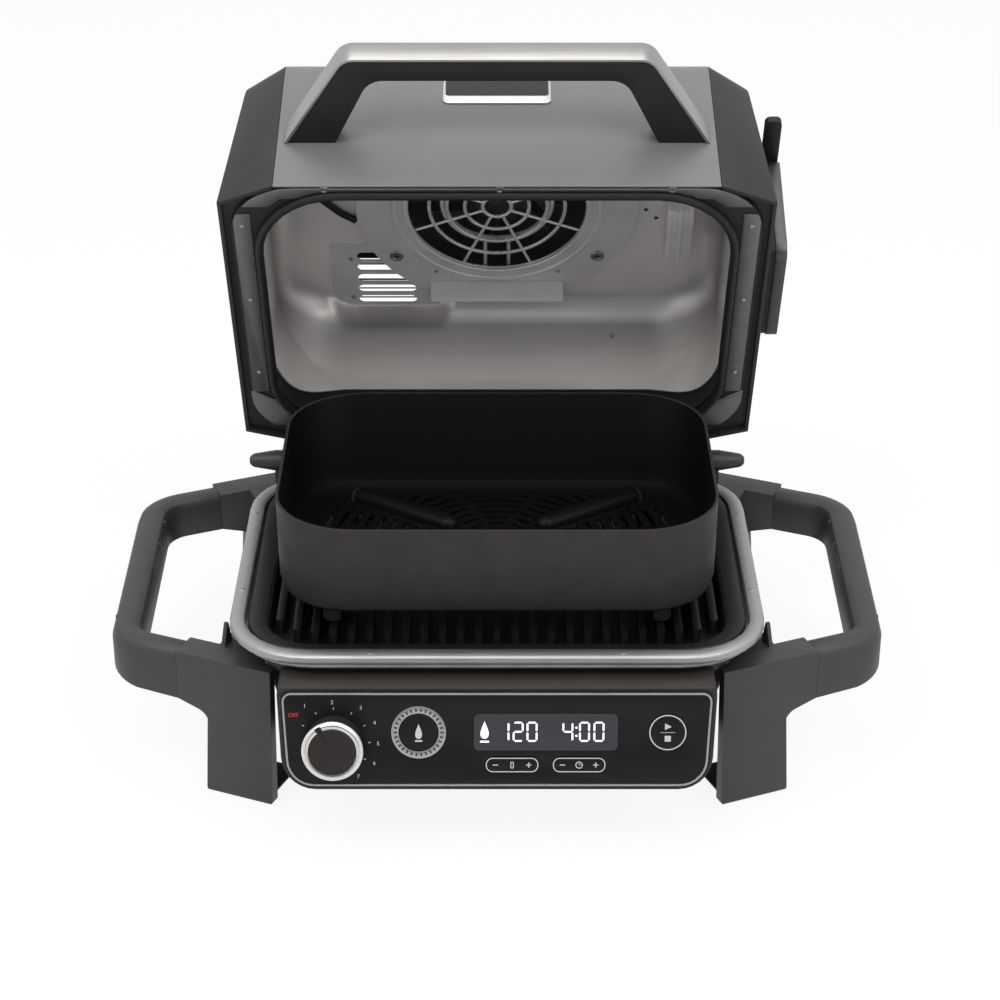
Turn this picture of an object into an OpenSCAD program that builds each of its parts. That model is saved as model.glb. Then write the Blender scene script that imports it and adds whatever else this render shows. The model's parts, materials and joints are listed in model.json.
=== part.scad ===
// Electric outdoor grill with a hinged convection lid, lift-out grill plate and crisper basket.
// Drawn in the hob's own frame: Y = 0 at the front of the trim ring, Z = 0 at its top face, then
// shifted so that the part stands on Z = 0 with its origin under the middle of its box.

/* [Trim ring] */
// Outside width of the stainless ring
ring_w = 412; // [396:1:428]
// Outside depth of the ring
ring_d = 328; // [318:1:340]
// Plan radius of the ring's outer corners
ring_corner_r = 69; // [64:1:76]
// Width of the ring's band
ring_band = 12; // [10:0.5:14]
// How far the ring stops short of the base's outline at the front and rear
ring_end_in = 9; // [7:0.5:11]
// Thickness of the ring
ring_t = 6; // [5:0.5:8]
// Height of the ring's top face above the table
ring_height = 150; // [146:1:165]

/* [Base] */
// Depth of the base tub below the ring's top
base_depth = 95; // [90:1:100]
// Wall of the moulded base tub
base_wall = 3; // [2:0.5:4]
// Depth of the inner pot below the ring's top
pot_depth = 72; // [66:1:78]
// Sheet thickness of the inner pot
pot_wall = 1.5; // [1:0.25:2]
// Diameter of the grill's tubular heating element
element_d = 8; // [6:0.5:9]

/* [Grill plate] */
// Depth of the plate's cooking floor below the ring's top
plate_floor = 20; // [18:0.5:22]
// Depth of the rib tops below the ring's top
rib_drop = 8; // [6:0.5:10]
// Distance from rib to rib
rib_pitch = 14; // [12:0.5:18]
// Width of one rib
rib_w = 6; // [4:0.5:8]

/* [Crisper basket] */
// Half of the basket's width at its rim
basket_half = 170; // [160:1:174]
// Front of the basket's rim, behind the ring's front
basket_front = 45; // [40:1:60]
// Rear of the basket's rim, behind the ring's front
basket_rear = 290; // [270:1:294]
// Height of the basket's rim above the ring's top
basket_rim = 88; // [70:1:92]
// Height of the basket's floor above the ring's top
basket_floor = 6; // [4:0.5:12]
// Sheet thickness of the basket
basket_wall = 2.4; // [2:0.2:3]
// Width of one arc slot in the basket's floor
slot_w = 4; // [3:0.5:5]

/* [Legs and side handles] */
// Angle by which a leg's face turns away from the front
leg_turn = 23; // [18:1:26]
// Width of the leg across its face
leg_w = 56; // [48:1:62]
// Depth of the leg behind its face
leg_depth = 62; // [54:1:66]
// Wall of the moulded leg
leg_wall = 4; // [3:0.5:5]
// Length of a leg's arm from its inner edge to the grip
arm_reach = 82; // [74:1:88]
// Height of a front leg's arm where it meets the grip
arm_h = 42; // [38:1:46]
// Outside width over both grips
grips_w = 606; // [590:1:620]
// Width of a grip
grip_w = 24; // [20:1:28]
// Height of a grip
grip_h = 33; // [30:1:38]
// Thickness of a rubber foot
foot_t = 2; // [1.5:0.5:4]

/* [Control panel] */
// Angle by which the fascia looks up
panel_tilt = 13.6; // [8:0.1:18]
// Height of the fascia along its slope
fascia_h = 73; // [71:1:76]
// Half of the fascia's width at its top
fascia_half = 162; // [159:1:165]
// Thickness of the fascia
fascia_t = 2.5; // [2:0.25:3]
// Diameter of the knob's bright ring
knob_d = 46; // [40:1:50]
// Height of the knob above the fascia
knob_h = 22; // [16:1:26]
// Width of the display window
display_w = 108; // [96:1:112]
// Height of the display window
display_h = 29; // [24:1:30]
// Length of a rocker key
rocker_l = 39; // [34:1:44]
// Width of a rocker key
rocker_w = 12; // [10:0.5:13]
// Diameter of the flavour key's bright ring
flavour_d = 41; // [36:1:44]
// Diameter of the start key
start_d = 28; // [24:1:32]

/* [Lid] */
// Angle to which the lid stands open
open_angle = 64; // [50:1:66]
// Half of the lid's width at its rim
lid_half = 215; // [211:1:219]
// Height of the closed lid's top above the ring's top
lid_top = 180; // [174:1:190]
// Lean of the lid's front panel
lid_lean = 10; // [6:0.5:12]
// Radius between the lid's front and its top
lid_front_r = 30; // [20:1:36]
// Radius between the lid's top and its rear
lid_rear_r = 45; // [36:1:52]
// Half of the painted panel's width
panel_half = 171; // [165:1:174]
// Sheet thickness of the painted panel
panel_sheet = 1.5; // [1:0.25:2]
// Wall of the moulded caps and rear cover
cap_wall = 3; // [2:0.5:4]
// Height of the liner's ceiling above the ring's top
liner_top = 125; // [120:1:128]
// Sheet thickness of the liner
liner_wall = 1.5; // [1:0.25:2]

/* [Fan] */
// Place of the fan's axis on the flat ceiling, from its front to its rear
fan_share = 0.403; // [0.38:0.001:0.42]
// Drop of the fan plate below the ceiling
fan_drop = 3; // [2:0.5:4]
// Radius of the fan plate
fan_plate_r = 118; // [110:1:120]
// Radius of the fan plate's opening
fan_hole_r = 74.5; // [70:0.5:76]
// Wire thickness of the fan guard
guard_wire = 3; // [2.5:0.25:3.5]
// Radius of the fan wheel
wheel_r = 62; // [54:1:66]

/* [Lid handle] */
// Height of the handle above the panel
handle_h = 77; // [70:1:84]
// Half of the handle's width at its feet
handle_foot_half = 166; // [160:1:168]
// Half of the handle's width at its grip
handle_grip_half = 118; // [110:1:124]
// Depth of the handle along the panel
handle_depth = 22; // [18:1:26]
// Distance of the handle's feet above the lid's rim, along the panel
handle_up = 56; // [50:1:64]
// Thickness of the handle's steel strap
strap_t = 2.5; // [2:0.25:3]

/* [Smoke box] */
// Reach of the smoke box beyond the lid's rim
smoke_reach = 14; // [12:1:20]
// Depth of the smoke box, front to rear
smoke_d = 105; // [96:1:112]
// Height of the smoke box
smoke_h = 103; // [96:1:106]
// Wall of the smoke box
smoke_wall = 2.5; // [2:0.25:3]

/* [Grease tray] */
// Half of the tray's width
tray_half = 65; // [58:1:70]
// Depth of the tray, front to rear
tray_d = 150; // [140:1:156]
// Height of the tray
tray_h = 27; // [22:1:30]

/* [Clearances] */
// Gap between pieces that move past each other
run_gap = 0.3; // [0.3:0.05:0.5]
// Gap between fixed pieces
seam_gap = 0.25; // [0.2:0.05:0.4]
// Radial gap of a pin in its bore
pin_gap = 0.05; // [0.02:0.01:0.1]

/* [Hidden] */

// Steps in a quarter turn of a lofted corner
corner_steps = 8;
$fn = 48;
far = 1000;

// Inner pot: inset of its walls from the ring's outline, at the mouth, the shoulder and the floor
pot_flange_in = 6;
pot_mouth = 27;
pot_shoulder = [pot_mouth + 2.5, pot_mouth + 9.5];
pot_foot = [pot_mouth + 23, pot_mouth + 29];
pot_shoulder_z = -(plate_floor + 11);
pot_edge = 5;
base_top_z = -(ring_t + pot_wall);
spout_r = 11;
spout_y = ring_d - 78;
spout_low = base_depth + 2.5;

// Base tub: its air slots, and insets of its outside at each height
air_slot_l = 42;
air_slot_w = 7;
air_slot_pitch = 24;
base_rings = [[[48, 48], -base_depth], [[42, 42], -base_depth + 7], [[33, 36], -60],
    [[25, 30], pot_shoulder_z], [[11, 11], base_top_z - 4.5], [[9, 9], base_top_z]];

element_r = element_d / 2;
element_z = -(pot_depth - 27);
element_half = ring_w / 2 - 71;
element_front = 72;
element_rear = ring_d - 83;
element_bend = 36;
terminal_x = 25;
terminal_bend = 14;
terminal_end = ring_d - 37;

// Grill plate
plate_t = 8;
plate_lip = ring_band + 2;
plate_lip_z = -1.5;
plate_seat_z = -ring_t + run_gap;
plate_half = ring_w / 2 - 33;
plate_rib_front = 58;
plate_floor_front = 50;
plate_floor_r = ring_corner_r - 30;
rib_count = floor((plate_half - rib_w / 2 - 1) / rib_pitch);
drain_l = 40;
drain_w = 5;

// Crisper basket
basket_draft = 10;
basket_corner_r = 62;
basket_foot_r = 8;
basket_foot_x = rib_pitch * 8.5;
basket_foot_in = 40;
basket_mid = (basket_front + basket_rear) / 2;
slot_mid = basket_mid + 20;
slot_pitch = 10;
slot_first = 22;
slot_rings = 12;
spoke_count = 8;
spoke_w = 7;
ridge_r = 9;
ridge_near = [38, slot_mid + 18];
ridge_far = [106, slot_mid + 66];

// Legs and grips: the face of the front right leg starts at its inner edge
leg_x = ring_w / 2 - 33;
leg_y = 31;
leg_mid_y = ring_d / 2 + 42;
leg_top = 27;
leg_low = ring_height - foot_t;
leg_crook_drop = 8;
leg_spread = 5;
leg_foot_in = 3;
grip_x = grips_w / 2 - grip_w / 2;
grip_front_bend = 22;
grip_rear_bend = 36;
grip_splay = 4;
grip_rib_pitch = 40;
grip_shell = 3.5;
grip_edge = 8;
grip_rib_t = 2.5;
foot_in = 6;
tab_h = 18;
tab_t = 3;
arm_root = 12;

// Control panel: the middle of the fascia's lower edge
panel_y = -24;
panel_z = -90;
panel_margin = 5;
panel_brow = 1.5;
fascia_low = 2.4;
fascia_taper = 4;
fascia_low_r = 22;
fascia_top_r = 8;
bezel_w = 1.6;
bezel_h = 0.6;
board_back = 12;
board_t = 1.6;
board_half = fascia_half - 14;
board_h = fascia_h - 18;
housing_wall = 4;
housing_depth = 45;
knob_at = [-122, 33];
flavour_at = [-58.6, 41];
display_at = [36.5, 41];
temp_at = [11.3, 15.4];
time_at = [61.6, 15.4];
start_at = [127.7, 41];
shaft_r = 3;
key_depth = 6;
key_proud = 0.7;
key_gap = 0.5;
flavour_ring_w = 6;
knob_gap = 0.8;
knob_step = 5;
knob_ring_h = 4.5;
knob_bevel = 2;
knob_ring_z = fascia_t + knob_gap + knob_h - knob_step;
knob_pointer = 30;
encoder_w = 14;
encoder_h = 7;

// Hinge
hinge_y = ring_d + 15;
hinge_z = -1;
barrel_r = 9;
barrel_tip_r = 5;
barrel_taper = 22;
barrel_foot = 12;
pin_r = 4;
arm_w = 12;
arm_x = 152;
barrel_x = arm_x + arm_w + 4;
barrel_end = lid_half - 1;
pin_head_r = 6;
pin_head_t = 2;
pin_end = barrel_end - 15;
barrel_seat_z = -leg_top;

// Rear housing and grease tray
rear_housing_top = hinge_z - barrel_r - 1.5;
rear_housing_half = leg_x - seam_gap / cos(leg_turn);
rear_housing_y = 2 * leg_mid_y - leg_y;
rear_corner_r = 14;
rear_slot_w = 7;
rear_slot_h = 24;
rear_slot_pitch = 16;
gland_r = 10;
gland_bore_r = 4;
gland_l = 9;
gland_at = [-100, -58];
tray_front = ring_d - 106;
tray_rim_z = -(base_depth + 3.5);
tray_wall = 2;
tray_rim_w = 4.5;
tray_rim_t = 2;
tray_grip_l = 26;
rail_t = 3;
rail_hook = 7;

// Lid, drawn closed
lid_front = 8;
lid_rim = 4;
lid_rear = ring_d - 5;
cap_front_back = 18;
cap_rear_in = 14;
cap_drop = 12;
cap_taper = 0.079;
panel_end = lid_rear - 61;
lean_tan = tan(lid_lean);
front_arc = [lid_front + (lid_front_r + (lid_top - lid_front_r - lid_rim) * sin(lid_lean)) / cos(lid_lean),
    lid_top - lid_front_r];
rear_arc = [lid_rear - lid_rear_r, lid_top - lid_rear_r];
arc_steps = 7;
frame_z = lid_rim + 1.5;
frame_t = 3;
frame_h = 58;
frame_half = ring_w / 2 + 1;
frame_front = lid_front + panel_sheet + 1.4;
frame_rear = lid_rear - cap_wall - 7;
frame_r = 50;
frame_lip = 7.5;
frame_lip_t = 0.8;
liner_half = ring_w / 2 - 17;
liner_front = 20;
liner_rear = lid_rear - 21;
liner_r = 62;
liner_round = 24;
liner_rear_share = 0.4;
liner_cut_y = 60;
liner_cut_slope = 9.3;
seal_w = 7;
seal_half = ring_w / 2 - 16;
seal_front = lid_front + 7.3;
seal_rear = liner_rear + 8;
seal_low = 0.4;
flange_t = 1.2;
flange_w = 14;
flange_x = seal_half + 0.5;
flange_in = 0.6;
flange_front = lid_front + 32;
flange_rear = lid_rear - 68;
corner_plate_rear = [[flange_x + flange_w, flange_rear], [panel_half - 1, lid_rear - 46],
    [panel_half + 4, lid_rear - 22], [far, lid_rear - 26], [far, flange_rear]];
corner_plate_front = [[0, 0], [panel_half - 1, 0], [far, 20], [far, flange_front - 8],
    [panel_half + 5, flange_front - 8], [panel_half - 5, 23], [0, 23]];
screw_r = 2;
screw_h = 1.2;
strip_screws = [0.06, 0.46, 0.88];
// Screws of the fan plate: angle from the rear, and distance in from its edge
plate_screws = [[34, 25], [57, 16]];
web_t = 2.5;

// Fan
fan_sheet = 1.2;
fan_flat_front = liner_front + (liner_top - frame_z) * lean_tan + liner_round + 1;
fan_flat_rear = liner_rear - liner_round * liner_rear_share - 1;
fan_y = fan_flat_front + fan_share * (fan_flat_rear - fan_flat_front);
fan_plate_z = liner_top - fan_drop - fan_sheet;
spacer_t = 2;
ceiling_z = liner_top + liner_wall;
bead_r = 2;
bead_radii = [fan_hole_r, fan_hole_r + 10];
guard_radii = [12, 27, 42, 57, 76];
guard_spokes = 8;
guard_z = liner_top - fan_drop;
liner_hole_r = fan_hole_r + 5;
spacer_r = liner_hole_r + 1.5;
heater_r = 45;
heater_wire = 6.5;
heater_leg_r = 1.6;
heater_z = guard_z + guard_wire + heater_wire / 2 + 0.2;
wheel_z = heater_z + heater_wire / 2 + 2;
wheel_h = 17;
wheel_blades = 12;
wheel_plate = 1.5;
hub_r = 9;
motor_shaft_r = 3;
shroud_r = liner_hole_r + 8;
shroud_h = wheel_z + wheel_h + 3 - ceiling_z;
shroud_t = 1.5;
motor_r = 28;
motor_z = ceiling_z + shroud_h;
motor_h = lid_top - panel_sheet - 4 - motor_z;
vent_d = 86;
vent_left = 48;
vent_right = 57;
vent_corner = 20;
vent_slots = 5;
vent_slot_w = 50;
vent_slot_h = 9.5;
vent_pitch = 13.7;
vent_span = (vent_slots - 1) * vent_pitch + vent_slot_h;
vent_y = fan_flat_rear - 2 - vent_d / 2;
vent_near = max(vent_y - vent_span / 2 - fan_y, 0);
vent_at = [-sqrt(max(pow(liner_hole_r + 11, 2) - pow(vent_near, 2), 1)) - vent_slot_w / 2, vent_y];
outlet_w = vent_slot_w + 6;
outlet_slots = 6;
outlet_from = 31;
outlet_pitch = 10.4;
outlet_slot_h = 6.8;
deflector_w = 114;
deflector_seat = 9;
deflector_back = 6;
deflector_drop = 18;
seat_gap = 0.05;
deflector_y = fan_y + bead_radii[1] + 2 * bead_r + 1.5;
duct_at = [liner_half - liner_round - 23, fan_y - 7];
duct_size = [22, 56, 14];
duct_ribs = 3;
duct_rib_w = 4;

// Lid handle and badge, in the panel's frame
handle_grip_t = 20;
handle_bend = 16;
handle_inner_r = 18;
handle_foot_w = 40;
badge_w = 86;
badge_h = 34;
badge_t = 1.2;
badge_up = 126;
badge_r = 5;

// Smoke box on the right of the lid
smoke_out = lid_half + smoke_reach;
smoke_in = liner_half + liner_wall + 5;
smoke_front = 94;
smoke_low = 15;
smoke_top = smoke_low + smoke_h;
smoke_mouth = lid_half - cap_taper * smoke_h + 2.5;
smoke_door_t = 3;
smoke_r = 10;
door_tab = 41;
door_tab_w = 13.5;
door_pin_r = 1.6;
door_knuckle_r = 2.8;
door_ear_w = 3.2;
door_pin_y = smoke_front + smoke_d - 14;
door_pin_z = smoke_top + run_gap + door_knuckle_r;
pellet_in = 1.2;
smoke_mouth_d = door_pin_y - 3 * door_knuckle_r - smoke_front - smoke_r;
trim_t = 1;
trim_w = 6;
trim_d = 8;

// The part's box in depth: the knob's lower edge in front and the open lid's rear behind
function opened(p) = let (q = p - [hinge_y, hinge_z])
    [hinge_y + q[0] * cos(open_angle) + q[1] * sin(open_angle),
     hinge_z - q[0] * sin(open_angle) + q[1] * cos(open_angle)];
box_front = panel_y + knob_at[1] * sin(panel_tilt) - (knob_ring_z + knob_ring_h) * cos(panel_tilt)
    - (knob_d / 2 - knob_bevel) * sin(panel_tilt);
box_rear = max([for (p = lid_profile(0, lid_rim)) opened(p)[0]]);
origin_y = (box_front + box_rear) / 2;

// Shape helpers

// Rounded rectangle as a loop of points at one height
function outline(half, y0, y1, r, z) =
    [for (q = [0:3], k = [0:corner_steps])
        let (a = 90 * q + 90 * k / corner_steps,
             cx = q == 0 || q == 3 ? half - r : r - half,
             cy = q < 2 ? y1 - r : y0 + r)
        [cx + r * cos(a), cy + r * sin(a), z]];

// The trim ring's outline, drawn in by one amount at the sides and another at the front and rear
function on_ring(in, z) = let (x = is_list(in) ? in[0] : in, y = is_list(in) ? in[1] : in)
    outline(ring_w / 2 - x, y, ring_d - y, max(ring_corner_r - (x + y) / 2, 8), z);

// A loop of points seen from above
function plan(loop) = [for (p = loop) [p[0], p[1]]];

// Surface through loops of points: closed by caps, or joined end to end
module skin(rings, capped = true) {
    n = len(rings[0]);
    m = len(rings);
    sides = [for (j = [0:capped ? m - 2 : m - 1], i = [0:n - 1])
        let (a = j * n, b = ((j + 1) % m) * n, k = (i + 1) % n)
        each [[a + i, b + i, b + k], [a + i, b + k, a + k]]];
    caps = capped ? [[for (i = [0:n - 1]) i], [for (i = [n - 1:-1:0]) (m - 1) * n + i]] : [];
    polyhedron(points = [for (r = rings) each r], faces = concat(sides, caps), convexity = 10);
}

function unit(v) = v / norm(v);
function cross2(u, v) = u[0] * v[1] - u[1] * v[0];

// Arc that replaces the corner b, of the form [x, y, radius], between its neighbours
function corner_arc(a, b, c) =
    let (p = [b[0], b[1]], u = unit([a[0], a[1]] - p), w = unit([c[0], c[1]] - p),
         half = acos(max(-1, min(1, u * w))) / 2, r = b[2])
    r == 0 || half > 89.9 ? [p] :
    let (mid = p + unit(u + w) * r / sin(half), s = p + u * r / tan(half) - mid,
         a0 = atan2(s[1], s[0]), turn = (180 - 2 * half) * (cross2(-u, w) > 0 ? 1 : -1))
    [for (k = [0:arc_steps]) mid + r * [cos(a0 + turn * k / arc_steps), sin(a0 + turn * k / arc_steps)]];

// Outline from corners of the form [x, y, radius]
function rounded(corners) = let (n = len(corners))
    [for (i = [0:n - 1]) each corner_arc(corners[(i + n - 1) % n], corners[i], corners[(i + 1) % n])];

module rounded_rect(w, h, r) polygon(rounded([[-w / 2, -h / 2, r], [w / 2, -h / 2, r], [w / 2, h / 2, r],
    [-w / 2, h / 2, r]]));

module stadium(l, w) {
    square([l - w, w], center = true);
    for (s = [-1, 1]) translate([s * (l - w) / 2, 0]) circle(d = w);
}

// Outline in Y and Z drawn out along X
module across(x0, x1) translate([x0, 0, 0]) rotate([90, 0, 90]) linear_extrude(x1 - x0) children();

// Round bar along X, along Y
module bar_x(x0, x1, r) translate([x0, 0, 0]) rotate([0, 90, 0]) cylinder(r = r, h = x1 - x0);
module bar_y(y0, y1, r) translate([0, y0, 0]) rotate([-90, 0, 0]) cylinder(r = r, h = y1 - y0);

// Both sides of what is drawn on the right
module both_sides() for (m = [0, 1]) mirror([m, 0, 0]) children();

// Frames: the hob on the table, the open lid, the fascia and the lid's front panel
module on_table() translate([0, -origin_y, ring_height]) children();
module on_lid() on_table() translate([0, hinge_y, hinge_z]) rotate([-open_angle, 0, 0])
    translate([0, -hinge_y, -hinge_z]) children();
module on_fascia() on_table() translate([0, panel_y, panel_z]) rotate([90 - panel_tilt, 0, 0]) children();
module on_panel() on_lid() translate([0, lid_front, lid_rim]) rotate([90 - lid_lean, 0, 0]) children();

// Hob

// A loop of the trim ring, drawn in by a distance
function ring_loop(in, z) = on_ring([in, in + ring_end_in], z);

module trim_ring() color("silver") on_table() skin([
    ring_loop(0, -ring_t), ring_loop(0, -3), ring_loop(0.9, -0.9), ring_loop(3, 0),
    ring_loop(ring_band - 1, 0), ring_loop(ring_band, -1), ring_loop(ring_band, -ring_t)], false);

function thinner(in, w) = [in[0] - w, in[1] - w];

module inner_pot() color("gray") on_table() difference() {
    union() {
        skin([
            on_ring(thinner(pot_foot, pot_wall - 4), -pot_depth),
            on_ring(thinner(pot_foot, pot_wall), -pot_depth + pot_edge),
            on_ring(thinner(pot_shoulder, pot_wall), pot_shoulder_z),
            on_ring(pot_mouth - pot_wall, -ring_t - pot_wall),
            on_ring(pot_flange_in, -ring_t - pot_wall), on_ring(pot_flange_in, -ring_t),
            on_ring(pot_mouth, -ring_t), on_ring(pot_shoulder, pot_shoulder_z),
            on_ring(pot_foot, -pot_depth + pot_edge), on_ring(thinner(pot_foot, -4), -pot_depth + pot_wall)]);
        translate([0, spout_y, -spout_low]) cylinder(r = spout_r, h = spout_low - pot_depth + pot_wall / 2);
    }
    translate([0, spout_y, -spout_low - 1]) cylinder(r = spout_r - pot_wall, h = spout_low);
    for (s = [-1, 1]) translate([s * terminal_x, 0, element_z]) bar_y(ring_d / 2, ring_d, element_r + 1);
}

// Outside of the base tub, grown by a gap, which its neighbours are cut to
module base_envelope(gap) skin([for (b = base_rings)
    on_ring(thinner(b[0], gap), b[1] - (b[1] == -base_depth ? gap : 0))]);

module base_shell() color([0.13, 0.12, 0.12]) on_table() difference() {
    skin(concat([for (b = base_rings) on_ring(b[0], b[1])],
        [for (i = [len(base_rings) - 1:-1:0]) let (b = base_rings[i])
            on_ring(thinner(b[0], -base_wall), i == 0 ? -base_depth + base_wall : b[1])]));
    translate([0, spout_y, -base_depth - 1]) cylinder(r = spout_r + 1, h = base_wall + 2);
    for (i = [-4:4], s = [-1, 1])
        translate([i * air_slot_pitch, ring_d / 2 - 29 + s * (air_slot_l / 2 + 9), -base_depth - 1])
            linear_extrude(base_wall + 2) rotate(90) stadium(air_slot_l, air_slot_w);
}

// Quarter bend of the element's tube, turning from angle a
module element_elbow(x, y, r, a) translate([x, y, 0]) rotate(a) rotate_extrude(angle = 90)
    translate([r, 0]) circle(element_r);

module heating_element() color("dimgray") on_table() translate([0, 0, element_z]) {
    translate([0, element_front, 0])
        bar_x(-element_half + element_bend, element_half - element_bend, element_r);
    both_sides() {
        element_elbow(element_half - element_bend, element_front + element_bend, element_bend, -90);
        translate([element_half, 0, 0])
            bar_y(element_front + element_bend, element_rear - element_bend, element_r);
        element_elbow(element_half - element_bend, element_rear - element_bend, element_bend, 0);
        translate([0, element_rear, 0])
            bar_x(terminal_x + terminal_bend, element_half - element_bend, element_r);
        element_elbow(terminal_x + terminal_bend, element_rear + terminal_bend, terminal_bend, 180);
        translate([terminal_x, 0, 0]) bar_y(element_rear + terminal_bend, terminal_end, element_r);
    }
}

bracket_x = 70;
bracket_d = 14;

module element_brackets() color("silver") on_table() for (x = [-bracket_x, bracket_x],
    y = [element_front, element_rear]) translate([x, y - bracket_d / 2, -pot_depth + pot_wall]) {
        translate([-10, 0, 0]) cube([20, bracket_d, pot_wall]);
        translate([-1.5, 0, 0]) cube([3, bracket_d, element_z - element_r - 0.1 + pot_depth - pot_wall]);
    }

probe_at = [60, ring_d / 2];

module temperature_probe() color("silver") on_table()
    translate([probe_at[0], probe_at[1], -pot_depth + pot_wall]) {
    cylinder(r = 7, h = 4);
    cylinder(r = 3, h = pot_depth - pot_wall - plate_floor - plate_t - run_gap);
}

// Cooking parts that lift out

// Front end of the rib at x, which follows the floor's rounded corners
function rib_front(x) = let (over = max(abs(x) - plate_half + plate_floor_r, 0))
    plate_rib_front + plate_floor_r - sqrt(max(pow(plate_floor_r, 2) - pow(over, 2), 0));

function plate_loop(half_in, front, z) = outline(ring_w / 2 - half_in, front, ring_d - front,
    max(ring_corner_r - (half_in + front) / 2, 8), z);

module grill_plate() color([0.07, 0.07, 0.07]) on_table() difference() {
    union() {
        skin([
            plate_loop(31, 43, -plate_floor - plate_t), plate_loop(30, 40, -plate_floor - plate_t + 2),
            plate_loop(pot_mouth + 1.5, pot_mouth + 1.5, plate_seat_z - 2),
            plate_loop(pot_mouth + 1.5, pot_mouth + 1.5, plate_seat_z),
            plate_loop(plate_lip, plate_lip + ring_end_in, plate_seat_z),
            plate_loop(plate_lip, plate_lip + ring_end_in, plate_lip_z - 1),
            plate_loop(plate_lip + 1, plate_lip + ring_end_in + 1, plate_lip_z),
            plate_loop(28, 31, plate_lip_z), plate_loop(30, 33, plate_lip_z - 2),
            plate_loop(32.5, plate_floor_front - 2, -plate_floor + 1.5),
            plate_loop(33.5, plate_floor_front, -plate_floor)]);
        for (i = [-rib_count:rib_count]) let (x = i * rib_pitch, y0 = rib_front(x), l = ring_d - 2 * y0)
            translate([x, ring_d / 2, -plate_floor - 1]) linear_extrude(plate_floor + 1 - rib_drop)
                rotate(90) stadium(l, rib_w);
    }
    for (i = [-4:3]) translate([(i + 0.5) * rib_pitch, spout_y - 10, -plate_floor - plate_t - 1])
        linear_extrude(plate_t + 2) rotate(90) stadium(drain_l, drain_w);
}

// One loop of the basket, drawn in by a distance
function basket_loop(in, z) = outline(basket_half - in, basket_front + in, basket_rear - in,
    basket_corner_r - in, z);

module basket_slots() intersection() {
    translate([0, basket_mid]) rounded_rect(2 * (basket_half - basket_draft) - 44,
        basket_rear - basket_front - 2 * basket_draft - 44, 26);
    difference() {
        translate([0, slot_mid]) for (k = [0:slot_rings - 1]) let (r = slot_first + slot_pitch * k)
            difference() {
            circle(r + slot_w / 2);
            circle(r - slot_w / 2);
        }
        translate([0, slot_mid]) for (k = [0:spoke_count / 2 - 1]) rotate(180 / spoke_count * (2 * k + 1))
            square([far, spoke_w], center = true);
        for (s = [-1, 1]) ridge_plan(s)
            stadium(norm(ridge_far - ridge_near) + 2 * ridge_r + 6, 2 * ridge_r + 6);
    }
}

// Lays what is drawn along X over the ridge on one side
module ridge_plan(s) let (mid = (ridge_near + ridge_far) / 2, d = ridge_far - ridge_near)
    translate([s * mid[0], mid[1]]) rotate(s > 0 ? atan2(d[1], d[0]) : 180 - atan2(d[1], d[0])) children();

module basket_ridge(s) let (l = norm(ridge_far - ridge_near)) intersection() {
    translate([0, 0, basket_floor + basket_wall]) ridge_plan(s) {
        bar_x(-l / 2, l / 2, ridge_r);
        for (e = [-1, 1]) translate([e * l / 2, 0, 0]) sphere(ridge_r);
    }
    translate([-far / 2, 0, basket_floor + basket_wall / 2]) cube([far, far, far]);
}

module crisper_basket() color([0.14, 0.13, 0.13]) on_table() {
    difference() {
        let (d = basket_draft, w = basket_wall, z = basket_floor) skin([
            basket_loop(d + 16, z), basket_loop(d + 9, z + 2), basket_loop(d + 3.5, z + 7),
            basket_loop(d, z + 17),
            basket_loop(0, basket_rim), basket_loop(w, basket_rim), basket_loop(d + w, z + 17),
            basket_loop(d + 3.5 + w, z + 8), basket_loop(d + 9 + w, z + 3.8), basket_loop(d + 16 + w, z + w)]);
        translate([0, 0, basket_floor - 1]) linear_extrude(basket_wall + 2) basket_slots();
    }
    for (s = [-1, 1]) basket_ridge(s);
    for (x = [-basket_foot_x, basket_foot_x], y = [basket_front + basket_foot_in, basket_rear - basket_foot_in])
        translate([x, y, -rib_drop + run_gap])
            cylinder(r = basket_foot_r, h = basket_floor + rib_drop - run_gap + 1);
}

// Legs and side handles

// Turns a drawing in X and Z into the face of the front right leg, drawn out backwards
module leg_face(depth) translate([leg_x, leg_y, 0]) rotate([90, 0, leg_turn])
    translate([0, 0, -depth]) linear_extrude(depth) children();

module leg_outline(in) polygon(rounded([[in, -leg_top - in, 0], [leg_w - in, -leg_top - in, 0],
    [leg_w - in, -leg_top - arm_h, 0], [leg_w + leg_spread - in, -leg_low + in, 2],
    [leg_foot_in + in, -leg_low + in, 2]]));

// Arm from the leg to the grip, of one height at the grip, with a round where it meets the leg
module arm_outline(h) let (low = leg_top + h, crook = low + leg_crook_drop, root = leg_w - arm_root)
    polygon(rounded([[root, -leg_top, 0], [arm_reach, -leg_top, 0], [arm_reach, -low, 0],
        [leg_w + 1, -crook, arm_root], [leg_w - 2, -crook - 2 * arm_root, 0],
        [root, -crook - 2 * arm_root, 0]]));

// Leg with its arm: a full face, then walls round the hollow behind it
module leg_solid(rear) {
    leg_face(leg_wall) {
        leg_outline(0);
        arm_outline(rear ? grip_h : arm_h);
    }
    translate([leg_x, leg_y, 0]) rotate([90, 0, leg_turn]) {
        translate([0, 0, -grip_w]) linear_extrude(grip_w - leg_wall) difference() {
            union() {
                leg_outline(0);
                arm_outline(rear ? grip_h : arm_h);
            }
            leg_outline(leg_wall);
        }
        translate([0, 0, -leg_depth]) linear_extrude(leg_depth - grip_w) difference() {
            leg_outline(0);
            leg_outline(leg_wall);
        }
    }
    if (!rear) translate([leg_x, leg_y, 0]) rotate(leg_turn) translate([leg_w - 6, grip_w - 4, -leg_top])
        rotate([90, 0, 90]) linear_extrude(tab_t) polygon([[0, -2], [14, -2], [9, tab_h], [7, tab_h]]);
}

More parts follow.
